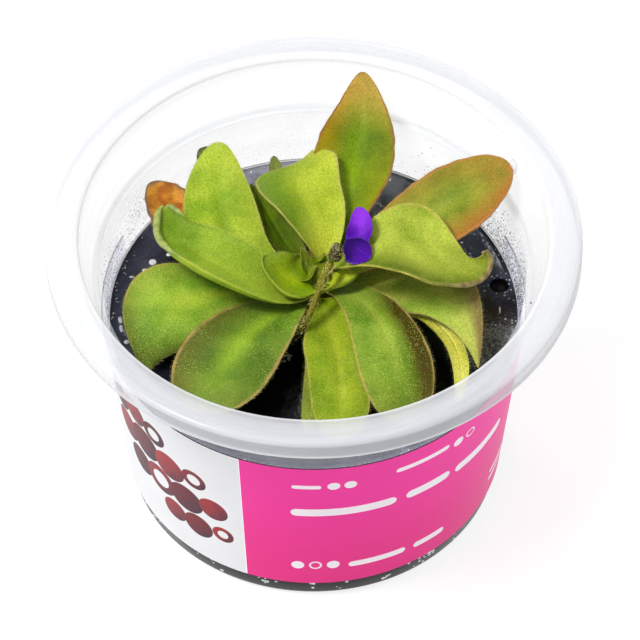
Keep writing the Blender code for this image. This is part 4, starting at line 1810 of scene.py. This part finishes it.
@dataclass
class Crown:
    """The short thick stem that the leaves grow from."""

    radius: float = 2
    low: float = 30.5
    top: float = 50
    dome: float = 2
    segments: int = 48

    def build(self) -> None:
        """Turn the crown, with shallow ridges, and dress it."""
        heights = np.linspace(self.low + 1.5, self.top - self.dome, 30)
        profile = [(0, self.low), (self.radius - 0.8, self.low), (self.radius - 0.25, self.low + 0.5)]
        profile += [(self.radius - 0.06 * math.sin(height * 2.1) ** 2, height) for height in heights]
        arc = np.radians(np.linspace(8, 82, 10))
        base = self.top - self.dome
        profile += [(self.radius * math.cos(turn), base + self.dome * math.sin(turn)) for turn in arc]
        profile.append((0, self.top))
        shape = turned("crown_stem", np.array(profile), self.segments)
        shape.points = shape.points + np.array([*CROWN, 0])
        finish = StemFinish(rgb(60, 70, 8), rgb(116, 128, 14), self.low + 10, self.top)
        shape.build([finish.material("crown")], Slot.CROWN.value, ["crown"])
        self._add_buds()

    def _add_buds(self) -> None:
        """Wrap the crown's top in three young scales that lean over one another."""
        finish = LeafFinish(
            core=rgb(104, 120, 12), light=rgb(140, 154, 20), margin=rgb(176, 180, 40),
            root=rgb(90, 104, 8), dots=0.2,
        )
        materials = [finish.upper("bud upper"), finish.lower("bud under")]
        for number, (bearing, rise) in enumerate(((-35, 45.6), (85, 45.4), (205, 45.2))):
            blade = Blade(
                f"crown_bud_{number + 1}", crown_root(bearing, 2.35, rise),
                heading=(bearing, bearing, bearing + 180, bearing + 180),
                pitch=(88, 86, 60, 14), roll=(0,),
                length=6.6, width=4.4, shape=(0.9, 1.05, 0.9, 0.6), tip=2.4, cup=(62, 60, 50), thick=0.3,
                rows=28, columns=19, ripple=0.03, groove=0.05,
            )
            blade.shape_of(80 + number).build(materials, Slot.CROWN.value)


@dataclass
class Dew:
    """The sticky glands of one leaf: a drop on each, and short hairs with drops along its margins."""

    spacing: float = 0.5
    size: float = 0.08
    fringe: float = 0.42
    hair: float = 0.42

    def build(self, blade: Blade, seed: int, slot: Slot, drop: Any, hair: Any) -> None:
        """Scatter the glands over a blade.

        Args:
            blade: The blade that carries them.
            seed: The seed of the scatter.
            slot: The blade's own slot.
            drop: The material of the drops.
            hair: The material of the hairs.
        """
        upper, _, normals, along, _ = blade.faces(seed)
        draw = np.random.default_rng(seed + 500)
        centres = []
        fine = np.linspace(0, 1, 400)
        spine = blade.midrib(fine)
        run = run_along(spine)
        for distance in np.arange(0.12 * run[-1], run[-1], self.spacing):
            place = float(np.interp(distance, run, fine))
            section, facing = self._row(upper, normals, along, place)
            arc = run_along(section)
            count = int(arc[-1] / self.spacing)
            if count < 1:
                continue
            spots = (np.arange(count) + 0.5) * arc[-1] / count + draw.uniform(-0.4, 0.4, count) * self.spacing
            spots = np.clip(spots, 0.05, arc[-1] - 0.05)
            point = read_along(spots, arc, section)
            normal = read_along(spots, arc, facing)
            slide = draw.normal(0, 0.1, (count, 3))
            outward = normal * (slide * normal).sum(1)[:, None]
            centres.append(point + normal * (self.size * 0.75) + slide - outward)
        points = np.concatenate(centres)
        sizes = self.size * draw.uniform(0.6, 1.25, len(points))
        roots, ends = self._fringe(upper, normals, draw)
        tips = 0.065 * draw.uniform(0.8, 1.3, len(ends))
        drops = beads(np.concatenate([points, ends]), np.concatenate([sizes, tips]))
        shape = joined("dew_" + blade.name.removesuffix("_blade"), [drops, hairs(roots, ends, HAIR_RADIUS)])
        shape.build([drop, hair], slot.value)

    def _row(self, grid: np.ndarray, normals: np.ndarray, along: np.ndarray, place: float) -> tuple:
        """Read one section of the blade between its rows.

        Args:
            grid: The points of the upper face.
            normals: Their normals.
            along: The place of each row.
            place: The place to read.

        Returns:
            The points and the normals there.
        """
        row = int(np.clip(np.searchsorted(along, place) - 1, 0, len(along) - 2))
        part = (place - along[row]) / (along[row + 1] - along[row])
        section = grid[row] * (1 - part) + grid[row + 1] * part
        return section, normals[row] * (1 - part) + normals[row + 1] * part

    def _fringe(self, upper: np.ndarray, normals: np.ndarray, draw: Any) -> tuple:
        """Lay out the hairs along both margins.

        Args:
            upper: The points of the upper face.
            normals: Their normals.
            draw: The random draw.

        Returns:
            The roots and the ends of the hairs.
        """
        roots = []
        ends = []
        for edge, beside in ((0, 1), (-1, -2)):
            line = upper[:, edge]
            out = line - upper[:, beside]
            out /= np.linalg.norm(out, axis=1, keepdims=True) + 1e-9
            arc = run_along(line)
            spots = np.arange(0.2 * arc[-1], arc[-1] - 0.2, self.fringe)
            spots = spots + draw.uniform(-0.3, 0.3, len(spots)) * self.fringe
            root = read_along(spots, arc, line)
            way = read_along(spots, arc, out + 0.5 * normals[:, edge])
            way = unit(way + draw.normal(0, 0.25, way.shape))
            length = self.hair * draw.uniform(0.5, 1.1, (len(spots), 1))
            roots.append(root - 0.05 * way)
            ends.append(root + length * way)
        return np.concatenate(roots), np.concatenate(ends)


@dataclass
class Rosette:
    """The leaves, each with its own finish and glands, growing from the crown."""

    seed: int = 100
    dew: Dew = field(default_factory=Dew)
    drop: Material = field(init=False)
    hair: Material = field(init=False)

    def __post_init__(self) -> None:
        """Make the two materials that all the glands share."""
        self.drop = DewFinish().material("dew")
        self.hair = PlainFinish(rgb(206, 206, 150), rgb(150, 150, 90), 0.4).material("gland hair")

    def leaf(
        self,
        name: str,
        slot: Slot,
        finish: LeafFinish,
        foot: Point,
        roll_lip: tuple[Roll, ...] = (),
        **form: Any,
    ) -> None:
        """Build one leaf, and the lips and glands it carries.

        Args:
            name: The leaf's name.
            slot: Its material slot.
            finish: Its colours.
            foot: Where it grows: the bearing from the crown in degrees, the reach and the height.
            roll_lip: Its thick rolled lips, if it has any.
            **form: The rest of the blade's sizes.
        """
        self.seed += 7
        blade = Blade(name + "_blade", crown_root(*foot), **form)
        materials = [finish.upper(name + " upper"), finish.lower(name + " under")]
        blade.shape_of(self.seed).build(materials, slot.value, ["leaf_" + name])
        for lip in roll_lip:
            lip.build(blade, self.seed, slot.value)
        self.dew.build(blade, self.seed, slot, self.drop, self.hair)

    def build(self) -> None:
        """Build every leaf."""
        self._outer()
        self._middle()
        self._upper()

    def _outer(self) -> None:
        """The lowest leaves, which lie over the gel."""
        self.leaf(
            "old_orange", Slot.ORANGE,
            LeafFinish(
                core=rgb(174, 69, 12), light=rgb(237, 155, 47), midrib_light_and_shade=rgb(184, 174, 65),
                margin=rgb(110, 92, 96), tip=rgb(204, 146, 72), root=rgb(140, 70, 16),
                under=rgb(184, 110, 43), margin_width=0.1, dots=0.15, patch=2.6,
            ),
            foot=(150, 2.9, 40.5),
            heading=(164, 146, 120), pitch=(8, 15, 14, 13), roll=(-1, -1, 3),
            length=35.6, width=13.6, shape=(0.3, 0.75, 1.15, 0.95), tip=3.2, cup=(10, 21, 23),
            ripple=0.5, wave=1.6,
        )
        self.leaf(
            "stub_left", Slot.OLIVE,
            LeafFinish(
                core=rgb(72, 84, 40), light=rgb(120, 124, 74), margin=rgb(60, 60, 36),
                tip=rgb(70, 72, 44), under=rgb(90, 92, 60), dots=0.3,
            ),
            foot=(137, 2.8, 41.9),
            heading=(143, 131, 119), pitch=(25, 29, 27, 3), roll=(0, -2, 2),
            length=32.2, width=8.2, shape=(0.3, 0.6, 0.85, 1.15), tip=4.2, cup=(0, 10, 21),
        )
        self.leaf(
            "stub_back", Slot.OLIVE,
            LeafFinish(
                core=rgb(96, 110, 40), light=rgb(140, 146, 70), margin=rgb(80, 84, 40),
                tip=rgb(110, 116, 60), dots=0.3,
            ),
            foot=(103, 2.9, 42.9),
            heading=(118, 108, 98), pitch=(25, 18, 14, 4), roll=(5, 3, 1),
            length=25.8, width=4.8, shape=(0.4, 0.6, 0.85, 1.05), tip=2.6, cup=(10,),
        )
        self.leaf(
            "front_small", Slot.GREEN,
            LeafFinish(core=rgb(120, 136, 36), light=rgb(160, 172, 60), margin=rgb(150, 130, 60)),
            foot=(264, 2.9, 42.2),
            heading=(272, 266, 258), pitch=(-6, 5, -7, -16), roll=(-5, 2, -9),
            length=27.2, width=5, shape=(0.55, 0.8, 0.9, 1.05), tip=3.2, cup=(0, -5, -10),
        )
        self.leaf(
            "strap", Slot.LIME,
            LeafFinish(
                core=rgb(208, 202, 57), light=rgb(252, 245, 118), midrib_light_and_shade=rgb(242, 232, 113),
                root=rgb(187, 198, 61), margin=rgb(206, 206, 70), tip=rgb(186, 184, 58),
            ),
            foot=(-16, 3, 41.3),
            heading=(5, -43, -107), pitch=(16, 4, -2, -41), roll=(0, -3, 0),
            length=36.8, width=3.4, shape=(0.9, 0.85, 1, 1.05), tip=6.2, cup=(0, 0, 1),
        )
        self.leaf(
            "right_low", Slot.GREEN,
            LeafFinish(
                core=rgb(146, 184, 52), light=rgb(224, 234, 104), midrib_light_and_shade=rgb(234, 234, 117),
                root=rgb(206, 229, 64), margin=rgb(176, 148, 84), tip=rgb(191, 148, 103),
                flank_pigment_and_shade=rgb(150, 122, 78), right_share=0, left_share=1.1, flank_reach=0.6,
            ),
            foot=(6, 3, 42.7),
            heading=(31, -40, -82), pitch=(18, 14, -8, -50), roll=(-1, 14, -13),
            length=37.8, width=16.6, shape=(0.3, 1.05, 0.85, 0.2), tip=1.6, cup=(18, -6, -10),
        )
        self.leaf(
            "left_low", Slot.GREEN,
            LeafFinish(
                core=rgb(106, 154, 31), light=rgb(173, 205, 65), midrib_light_and_shade=rgb(217, 228, 73),
                root=rgb(167, 196, 37), margin=rgb(184, 160, 84), tip=rgb(76, 92, 34),
                flank_pigment_and_shade=rgb(140, 130, 62), right_share=0.4, left_share=0.4, tip_share=0.8,
            ),
            foot=(211, 3, 41.8),
            heading=(175, 202, 268), pitch=(7, 19, -9, -61), roll=(6, -8, -8),
            length=37.4, width=19.2, shape=(0.2, 0.3, 1.25, 0.4), tip=3.6, cup=(18, -15, -29),
        )

    def _middle(self) -> None:
        """The long leaves that spread out to the wall."""
        self.leaf(
            "back_right", Slot.GREEN,
            LeafFinish(
                core=rgb(104, 129, 25), light=rgb(160, 168, 53), midrib_light_and_shade=rgb(189, 193, 69),
                root=rgb(145, 165, 36), margin=rgb(196, 122, 76), tip=rgb(187, 116, 54),
                flank_pigment_and_shade=rgb(180, 92, 45), dots=0.35, margin_width=0.05, tip_share=0.6, left_share=0.35,
                right_share=0.8,
            ),
            foot=(43, 2.9, 44.2),
            heading=(31, 26, 11), pitch=(20, 16, 23, 29), roll=(-5, 2, -1),
            length=38, width=17, shape=(0.2, 0.65, 1.05, 1.25), tip=3.6, cup=(31, 9, 1), wave=0.5,
        )
        self.leaf(
            "front_left", Slot.GREEN,
            LeafFinish(
                core=rgb(68, 110, 20), light=rgb(120, 156, 42), midrib_light_and_shade=rgb(174, 205, 53),
                root=rgb(132, 175, 26), margin=rgb(186, 146, 92), tip=rgb(123, 109, 45),
                flank_pigment_and_shade=rgb(92, 90, 36), right_share=0.9, left_share=0.3, margin_width=0.05,
                flank_reach=0.55,
            ),
            foot=(221, 2.9, 43.3),
            heading=(224, 230, 244), pitch=(28, 8, -12, -26), roll=(32, -1, 9),
            length=33, width=18.4, shape=(0.2, 0.7, 1.05, 1.35), tip=4.2, cup=(20, -11, -6),
        )
        self.leaf(
            "front", Slot.GREEN,
            LeafFinish(
                core=rgb(116, 149, 17), light=rgb(173, 190, 39), midrib_light_and_shade=rgb(189, 196, 49),
                root=rgb(144, 167, 24), margin=rgb(196, 180, 88), tip=rgb(135, 152, 42),
                # Painted shade: the flank darkens the leaf's left side.
                flank_pigment_and_shade=rgb(107, 126, 26), left_share=0.3,
            ),
            foot=(287, 2.8, 44.6),
            heading=(281, 276, 271), pitch=(32, -13, 22, -15, -34, -40), roll=(-12, -1, -1),
            length=31.4, width=14.4, shape=(0.25, 0.75, 0.85, 1.15), tip=3.6, cup=(33, 11, -10),
        )
        self.leaf(
            "inner_dark", Slot.OLIVE,
            LeafFinish(
                core=rgb(75, 103, 3), light=rgb(119, 147, 3), midrib_light_and_shade=rgb(108, 136, 3),
                # Painted shade: the near-black root darkens the leaf's base deep in the rosette.
                margin=rgb(110, 116, 30), root=rgb(30, 18, 3), root_share=1, under=rgb(88, 109, 13),
                midrib_light_and_shade_share=0.2, dots=0.15,
            ),
            foot=(122, 2.8, 44.3),
            heading=(132, 127, 123), pitch=(22, 27, 29, 24), roll=(10, 1, -2),
            length=20, width=7.2, shape=(0.25, 0.8, 0.8, 0.6), tip=2, cup=(50, 30, 20),
        )
        self.leaf(
            "upper_left", Slot.LIME,
            LeafFinish(
                # Painted shade: the darker midrib colour darkens the middle of this leaf.
                core=rgb(126, 168, 25), light=rgb(187, 209, 56), midrib_light_and_shade=rgb(124, 156, 22),
                midrib_light_and_shade_share=0.8, root=rgb(126, 156, 22), root_share=0.9, margin=rgb(190, 186, 90),
                tip=rgb(180, 192, 62), flank_pigment_and_shade=rgb(180, 188, 49), right_share=0.6,
            ),
            foot=(154, 3.1, 46.1),
            heading=(201, 115, 79), pitch=(8, 15, 33, 23), roll=(-14, -11, -3),
            length=34.2, width=15.2, shape=(0.2, 0.8, 1.1, 1), tip=2.2, cup=(43, 19, -2),
        )
        self.leaf(
            "back_tall", Slot.GREEN,
            LeafFinish(
                core=rgb(80, 118, 0), light=rgb(128, 154, 0), midrib_light_and_shade=rgb(150, 182, 4),
                root=rgb(122, 146, 3), margin=rgb(158, 80, 60), tip=rgb(212, 164, 76),
                flank_pigment_and_shade=rgb(186, 122, 6), margin_width=0.05, tip_share=1, left_share=0.6, dots=0.35,
                right_share=0.2,
            ),
            foot=(85, 3, 45.5),
            heading=(73, 75, 92), pitch=(34, 12, 21, 31), roll=(0, 1, -1),
            length=38.8, width=15.4, shape=(0.25, 0.8, 1.2, 0.8), tip=2, cup=(42, 13, 4), wave=0.4,
        )
        self.leaf(
            "front_right", Slot.GREEN,
            LeafFinish(
                core=rgb(86, 129, 21), light=rgb(150, 179, 57), midrib_light_and_shade=rgb(177, 189, 72),
                root=rgb(134, 161, 37), margin=rgb(204, 166, 96), tip=rgb(155, 138, 63),
                flank_pigment_and_shade=rgb(72, 53, 12), right_share=0.1, left_share=1.5, margin_width=0.04,
            ),
            foot=(-31, 3, 45.9),
            heading=(317, 292, 281), pitch=(36, 7, -23, -57), roll=(-11, -3, -7),
            length=34.6, width=15.2, shape=(0.25, 0.65, 1, 1.2), tip=4, cup=(21, -9, -17),
        )

    def _upper(self) -> None:
        """The leaves over the middle of the rosette, and the young ones at its centre."""
        self.leaf(
            "left_rolled", Slot.LIME,
            LeafFinish(
                core=rgb(102, 142, 20), light=rgb(152, 180, 48), midrib_light_and_shade=rgb(166, 186, 52),
                # Painted light: the pale root lifts the shade that the inner leaf casts on its base.
                root=rgb(186, 208, 58), root_share=0.9, margin=rgb(186, 196, 70), tip=rgb(117, 136, 41),
                flank_pigment_and_shade=rgb(150, 180, 40), left_share=0.6, under=rgb(160, 186, 52), margin_width=0.03,
            ),
            foot=(216, 2.8, 47),
            heading=(211, 152, 103), pitch=(10, 27, 9, -7, 26), roll=(-17, 11, 2),
            length=34.2, width=15.2, shape=(0.35, 0.8, 0.95, 0.5), tip=4, cup=(21, 33, 23),
            curl_left=(25, 50, 50), curl_right=(0, 20, 40),
            roll_lip=(
                Roll(True, 0.6, 0.65, (), rgb(166, 178, 92), rgb(128, 144, 62)),
                Roll(False, 0.9, 0.5, (), rgb(166, 178, 92), rgb(128, 144, 62)),
            ),
        )
        self.leaf(
            "top_centre", Slot.LIME,
            LeafFinish(
                core=rgb(160, 180, 38), light=rgb(204, 214, 62), midrib_light_and_shade=rgb(208, 214, 60),
                # Painted light: the pale root brightens its base. Painted shade: the flank darkens its left
                # side.
                root=rgb(222, 226, 70), root_share=0.9, margin=rgb(190, 180, 96), tip=rgb(167, 174, 74),
                flank_pigment_and_shade=rgb(112, 146, 24), left_share=1.3, right_share=0, flank_reach=0.8,
            ),
            foot=(66, 3.4, 47.4),
            heading=(108, 113, 69), pitch=(55, 23, -1, -17), roll=(12, 12, -26),
            length=23.6, width=17.4, shape=(0.15, 0.7, 0.95, 1.25), tip=4.6, cup=(54, 29, 1), skew=-2.6,
        )
        self.leaf(
            "right_upper", Slot.LIME,
            LeafFinish(
                core=rgb(144, 166, 43), light=rgb(204, 216, 82), midrib_light_and_shade=rgb(196, 208, 76),
                root=rgb(150, 180, 39), margin=rgb(204, 190, 90), tip=rgb(184, 168, 77),
                # Painted shade: the flank darkens the leaf's right side, under its curl.
                flank_pigment_and_shade=rgb(92, 112, 10), left_share=0, right_share=1.2, flank_reach=0.62,
                under=rgb(172, 166, 86),
            ),
            foot=(26, 2.7, 49.4),
            heading=(-17, -9, -2, -5, 12, 67), pitch=(48, 36, -17, -24, -20, 102), roll=(-6, -11, 16),
            length=34, width=20.8, shape=(0.15, 0.65, 1.15, 0.7, 0.2), tip=2.8, cup=(28, 37, 30),
            curl_right=(0, 0, 90),
            roll_lip=(
                Roll(
                    False, 0.6, 0.5, ((-0.5, 0.2, 0.35), (-1.1, -0.3, 0.3)),
                    rgb(168, 156, 84), rgb(116, 98, 48),
                ),
            ),
        )
        self.leaf(
            "inner_olive", Slot.OLIVE,
            LeafFinish(
                core=rgb(104, 135, 4), light=rgb(146, 172, 10), midrib_light_and_shade=rgb(183, 203, 15),
                root=rgb(139, 174, 4), margin=rgb(160, 176, 50), dots=0.3,
            ),
            foot=(235, 2.7, 47.9),
            heading=(206, 157, 117), pitch=(31, 24, 35, 7), roll=(-8, 0, 6),
            length=10.2, width=12, shape=(0.4, 0.95, 0.8, 0.8), tip=3.4, cup=(48, 35, 39),
            curl_left=(0, 40, 40),
        )
        self.leaf(
            "inner_narrow", Slot.GREEN,
            LeafFinish(core=rgb(84, 104, 12), light=rgb(116, 130, 20), margin=rgb(150, 160, 40), dots=0.2),
            foot=(192, 2.3, 50),
            heading=(117, 116, 112), pitch=(81, 70, 56, 45), roll=(-3, -5, 7),
            length=4.6, width=2, shape=(0.65, 1, 0.85, 0.5), tip=2, cup=(40, 30, 20), thick=0.6,
        )
        self.leaf(
            "inner_yellow", Slot.LIME,
            LeafFinish(
                core=rgb(176, 192, 30), light=rgb(200, 208, 50), margin=rgb(150, 150, 50),
                # Painted shade: the flank darkens its right side.
                flank_pigment_and_shade=rgb(58, 110, 16), root=rgb(184, 196, 40), left_share=0, right_share=1, dots=0.3,
            ),
            foot=(-67, 3.2, 48),
            heading=(-16, -8, 2), pitch=(46, 41, 37, 32), roll=(-1, -2, -1),
            length=7, width=4.8, shape=(0.45, 0.9, 1, 0.7), tip=2.5, cup=(45, 40, 30), thick=0.7,
        )


@dataclass
class Flower:
    """The flower: a hairy stem, a small calyx and two lobes of the corolla."""

    stem_radius: float = 0.55
    calyx_radius: float = 1.3
    calyx_length: float = 3.3
    stem_hairs: int = 420
    calyx_hairs: int = 260
    path: tuple[Point, ...] = (
        (0.2, -1.6, 40.6), (-2.2, -5.4, 40.2), (-3.7, -9, 41.5), (-3.1, -9.9, 44.6),
        (-1.3, -9.3, 47.9), (0.8, -5.4, 51.2), (2.2, -2.9, 53.4), (3.1, -1.5, 54.6),
    )
    hair: Material = field(init=False)
    drop: Material = field(init=False)

    def __post_init__(self) -> None:
        """Make the materials that the hairs of the stem and the calyx share."""
        self.hair = PlainFinish(rgb(190, 180, 80), rgb(110, 100, 30), 0.4).material("stem hair")
        self.drop = PlainFinish(rgb(244, 236, 150), rgb(196, 184, 80), 0.25).material("stem dew")

    def build(self) -> None:
        """Build the stem, the calyx and the lobes."""
        end, forward = self._stem()
        self._calyx(end, forward)
        self._petals()

    def _stem(self) -> tuple[Vector, Vector]:
        """Build the stem and its hairs.

        Returns:
            The end of the stem and its direction there.
        """
        places = np.linspace(0, 1, 90)
        path = np.stack([blend([point[axis] for point in self.path], places) for axis in range(3)], -1)
        radii = self.stem_radius * (1 - 0.06 * np.sin(places * 60) ** 2)
        stem = StemFinish(rgb(40, 30, 12), rgb(118, 112, 18), 45.5, 50.5)
        points, faces = tube(path, radii, 16)
        Shape("scape_stem", points, faces).build([stem.material("stem")], Slot.STEM.value, ["scape"])
        draw = np.random.default_rng(41)
        spots = draw.uniform(0.42, 1, self.stem_hairs)
        middle = read_along(spots, places, path)
        way = draw.normal(size=(self.stem_hairs, 3))
        along = unit(read_along(spots, places, np.gradient(path, axis=0)))
        way = unit(way - along * (way * along).sum(1)[:, None])
        roots = middle + way * (0.9 * self.stem_radius)
        ends = middle + way * (self.stem_radius + draw.uniform(0.08, 0.35, (self.stem_hairs, 1)))
        drops = beads(ends, 0.085 * draw.uniform(0.8, 1.4, self.stem_hairs))
        shape = joined("dew_scape", [drops, hairs(roots, ends, HAIR_RADIUS)])
        shape.build([self.drop, self.hair], Slot.STEM.value)
        forward = path[-1] - path[-2]
        return Vector(path[-1]), Vector(forward).normalized()

    def _calyx(self, end: Vector, forward: Vector) -> None:
        """Build the calyx on the stem's own axis, with five shallow lobes and its hairs.

        Args:
            end: The end of the stem.
            forward: Its direction there.
        """
        shares = np.linspace(0, 1, 22)
        widths = np.sqrt(np.maximum(1 - (2 * shares - 1) ** 2, 0)) * 0.35 + 0.65
        radius = self.calyx_radius * 0.96
        profile = [(0, 0)]
        profile += [(radius * wide, self.calyx_length * share) for share, wide in zip(shares, widths)]
        profile[1] = (0.5 * self.calyx_radius, 0)
        profile[-1] = (0.6 * self.calyx_radius, self.calyx_length)
        profile.append((0, self.calyx_length))
        shape = turned("calyx_cup", np.array(profile), 40)
        turns = np.arctan2(shape.points[:, 1], shape.points[:, 0])
        ridge = 1 - 0.09 * (0.5 + 0.5 * np.cos(5 * turns)) * ease(shape.points[:, 2], 0.3, 1.4)
        shape.points[:, :2] *= ridge[:, None]
        place = Matrix.Translation(end + 0.5 * forward) @ forward.to_track_quat("Z", "Y").to_matrix().to_4x4()
        turn = np.array(place.to_3x3())
        shape.points = shape.points @ turn.T + np.array(place.translation)
        finish = StemFinish(rgb(50, 40, 26), rgb(70, 66, 40), 54, 57, rgb(170, 170, 140), 0.6)
        shape.build([finish.material("calyx")], Slot.CALYX.value, ["calyx"])
        draw = np.random.default_rng(43)
        share = draw.uniform(0.05, 0.95, self.calyx_hairs)
        around = draw.uniform(0, TURN, self.calyx_hairs)
        wide = np.interp(share, shares, widths) * self.calyx_radius * 0.9
        roots = polar(wide, around, share * self.calyx_length)
        ends = roots + polar(1, around, 0) * draw.uniform(0.3, 0.6, (self.calyx_hairs, 1))
        roots = roots @ turn.T + np.array(place.translation)
        ends = ends @ turn.T + np.array(place.translation)
        drops = beads(ends, 0.07 * draw.uniform(0.8, 1.4, self.calyx_hairs))
        shape = joined("dew_calyx", [drops, hairs(roots, ends, HAIR_RADIUS)])
        shape.build([self.drop, self.hair], Slot.CALYX.value)

    def _petals(self) -> None:
        """Build the two lobes, which stand up and forwards from the calyx."""
        upper = Blade(
            "corolla_upper_lobe", (6.7, 1.5, 55.4),
            heading=(51, 67, 93, 110), pitch=(-11, 41, 24, 34), roll=(-22, -8, -9),
            length=7.9, width=5, shape=(0.7, 1, 1, 1), tip=2.4, cup=(25, 25, 18), thick=0.45,
            ripple=0.03, wave=0.05, groove=0.05,
        )
        lower = Blade(
            "corolla_lower_lobe", (5.5, -0.2, 58.5),
            heading=(-17, -31, -29), pitch=(-23, -10, -19), roll=(-11, -2, -19),
            length=5.2, width=5.6, shape=(0.5, 1.1, 1.15, 1.05), tip=5, cup=(-5, -8, -10), thick=0.45,
            ripple=0.16, wave=0.7, groove=0.25,
        )
        violet = PetalFinish(rgb(76, 6, 160), rgb(152, 54, 228), rgb(92, 12, 184), rgb(160, 90, 236), 0.2)
        blue = PetalFinish(rgb(40, 0, 96), rgb(84, 14, 166), rgb(34, 0, 84), rgb(130, 90, 214), 0.3)
        upper.shape_of(61).build([violet.material("violet petal")] * 2, Slot.VIOLET.value, ["corolla_upper"])
        lower.shape_of(67).build([blue.material("blue petal")] * 2, Slot.BLUE.value, ["corolla_lower"])


@dataclass
class Studio:
    """The pale floor, the soft light and the camera.

    The camera stands distance metres from a target height on the axis, elevation degrees up, and is then
    turned down and to the right by the two small angles. Each lamp has its name, place, size and power.
    """

    distance: float = 1.5
    elevation: float = 49.685
    aim_down: float = 0.571
    aim_right: float = 0.042
    lens: float = 478.36
    target: float = 0.0605
    sky: Colour = (0.94, 0.97, 1)
    sky_strength: float = 0.34
    floor_glow: float = 0.82
    lamps: tuple[tuple[str, Point, float, float], ...] = (
        ("key", (-0.5, -0.2, 1), 0.3, 10),
        ("window", (-0.22, 0.66, 1), 0.16, 2),
        ("side", (0.8, 0.1, 0.7), 0.3, 1.4),
    )
    floor_half: float = 2.5
    floor_level: float = -0.0002

    def build(self) -> None:
        """Set up all of it."""
        self._floor()
        self._world()
        self._lights()
        self._camera()

    def _floor(self) -> None:
        """Lay a wide pale floor."""
        tree = ShaderTree("floor")
        cloud = tree.noise(tree.place(), 60, 2)
        values = {
            "Base Color": tree.mix(cloud, rgb(148, 148, 148), rgb(152, 152, 152)),
            "Roughness": 0.9,
            "Specular IOR Level": 0.1,
            "Emission Color": rgb(255, 255, 255),
            "Emission Strength": self.floor_glow,
        }
        mesh = bpy.data.meshes.new("floor")
        half = self.floor_half
        square = ((-half, -half), (half, -half), (half, half), (-half, half))
        corners = [(east, north, self.floor_level) for east, north in square]
        mesh.from_pydata(corners, [], [(0, 1, 2, 3)])
        mesh.materials.append(tree.surface(values))
        floor = bpy.data.objects.new("floor", mesh)
        bpy.context.scene.collection.objects.link(floor)

    def _world(self) -> None:
        """Light everything evenly from a pale sky."""
        world = bpy.data.worlds.new("studio")
        world.use_nodes = True
        background = world.node_tree.nodes["Background"]
        background.inputs["Color"].default_value = (*self.sky, 1)
        background.inputs["Strength"].default_value = self.sky_strength
        bpy.context.scene.world = world

    def _lights(self) -> None:
        """Hang a key light, and two weaker ones behind and beside it."""
        for name, place, size, power in self.lamps:
            light = bpy.data.lights.new(name, "AREA")
            light.shape = "SQUARE"
            light.size = size
            light.energy = power
            lamp = bpy.data.objects.new(name, light)
            lamp.location = place
            way = Vector((0, 0, 0.04)) - Vector(place)
            lamp.rotation_euler = way.to_track_quat("-Z", "Y").to_euler()
            bpy.context.scene.collection.objects.link(lamp)

    def _camera(self) -> None:
        """Look down at the rim from the front through a long lens."""
        data = bpy.data.cameras.new("camera")
        data.lens = self.lens
        data.sensor_width = 36
        data.clip_start = 0.1
        data.clip_end = 20
        rise = math.radians(self.elevation)
        place = Vector((0, -self.distance * math.cos(rise), self.target + self.distance * math.sin(rise)))
        tilt = Matrix.Rotation(math.radians(90 - self.elevation - self.aim_down), 4, "X")
        turn = Matrix.Rotation(-math.radians(self.aim_right), 4, "Y")
        camera = bpy.data.objects.new("camera", data)
        camera.matrix_world = Matrix.Translation(place) @ tilt @ turn
        bpy.context.scene.collection.objects.link(camera)
        bpy.context.scene.camera = camera
        bpy.context.scene.view_settings.view_transform = "Standard"


def main() -> None:
    """Build the cup and everything in it, then the studio."""
    logging.basicConfig(level=logging.INFO, format="%(message)s")
    cup = Cup()
    cup.build()
    Wrap().build(cup)
    Gel().build(cup)
    Crown().build()
    Rosette().build()
    Flower().build()
    Studio().build()


if __name__ == "__main__":
    main()
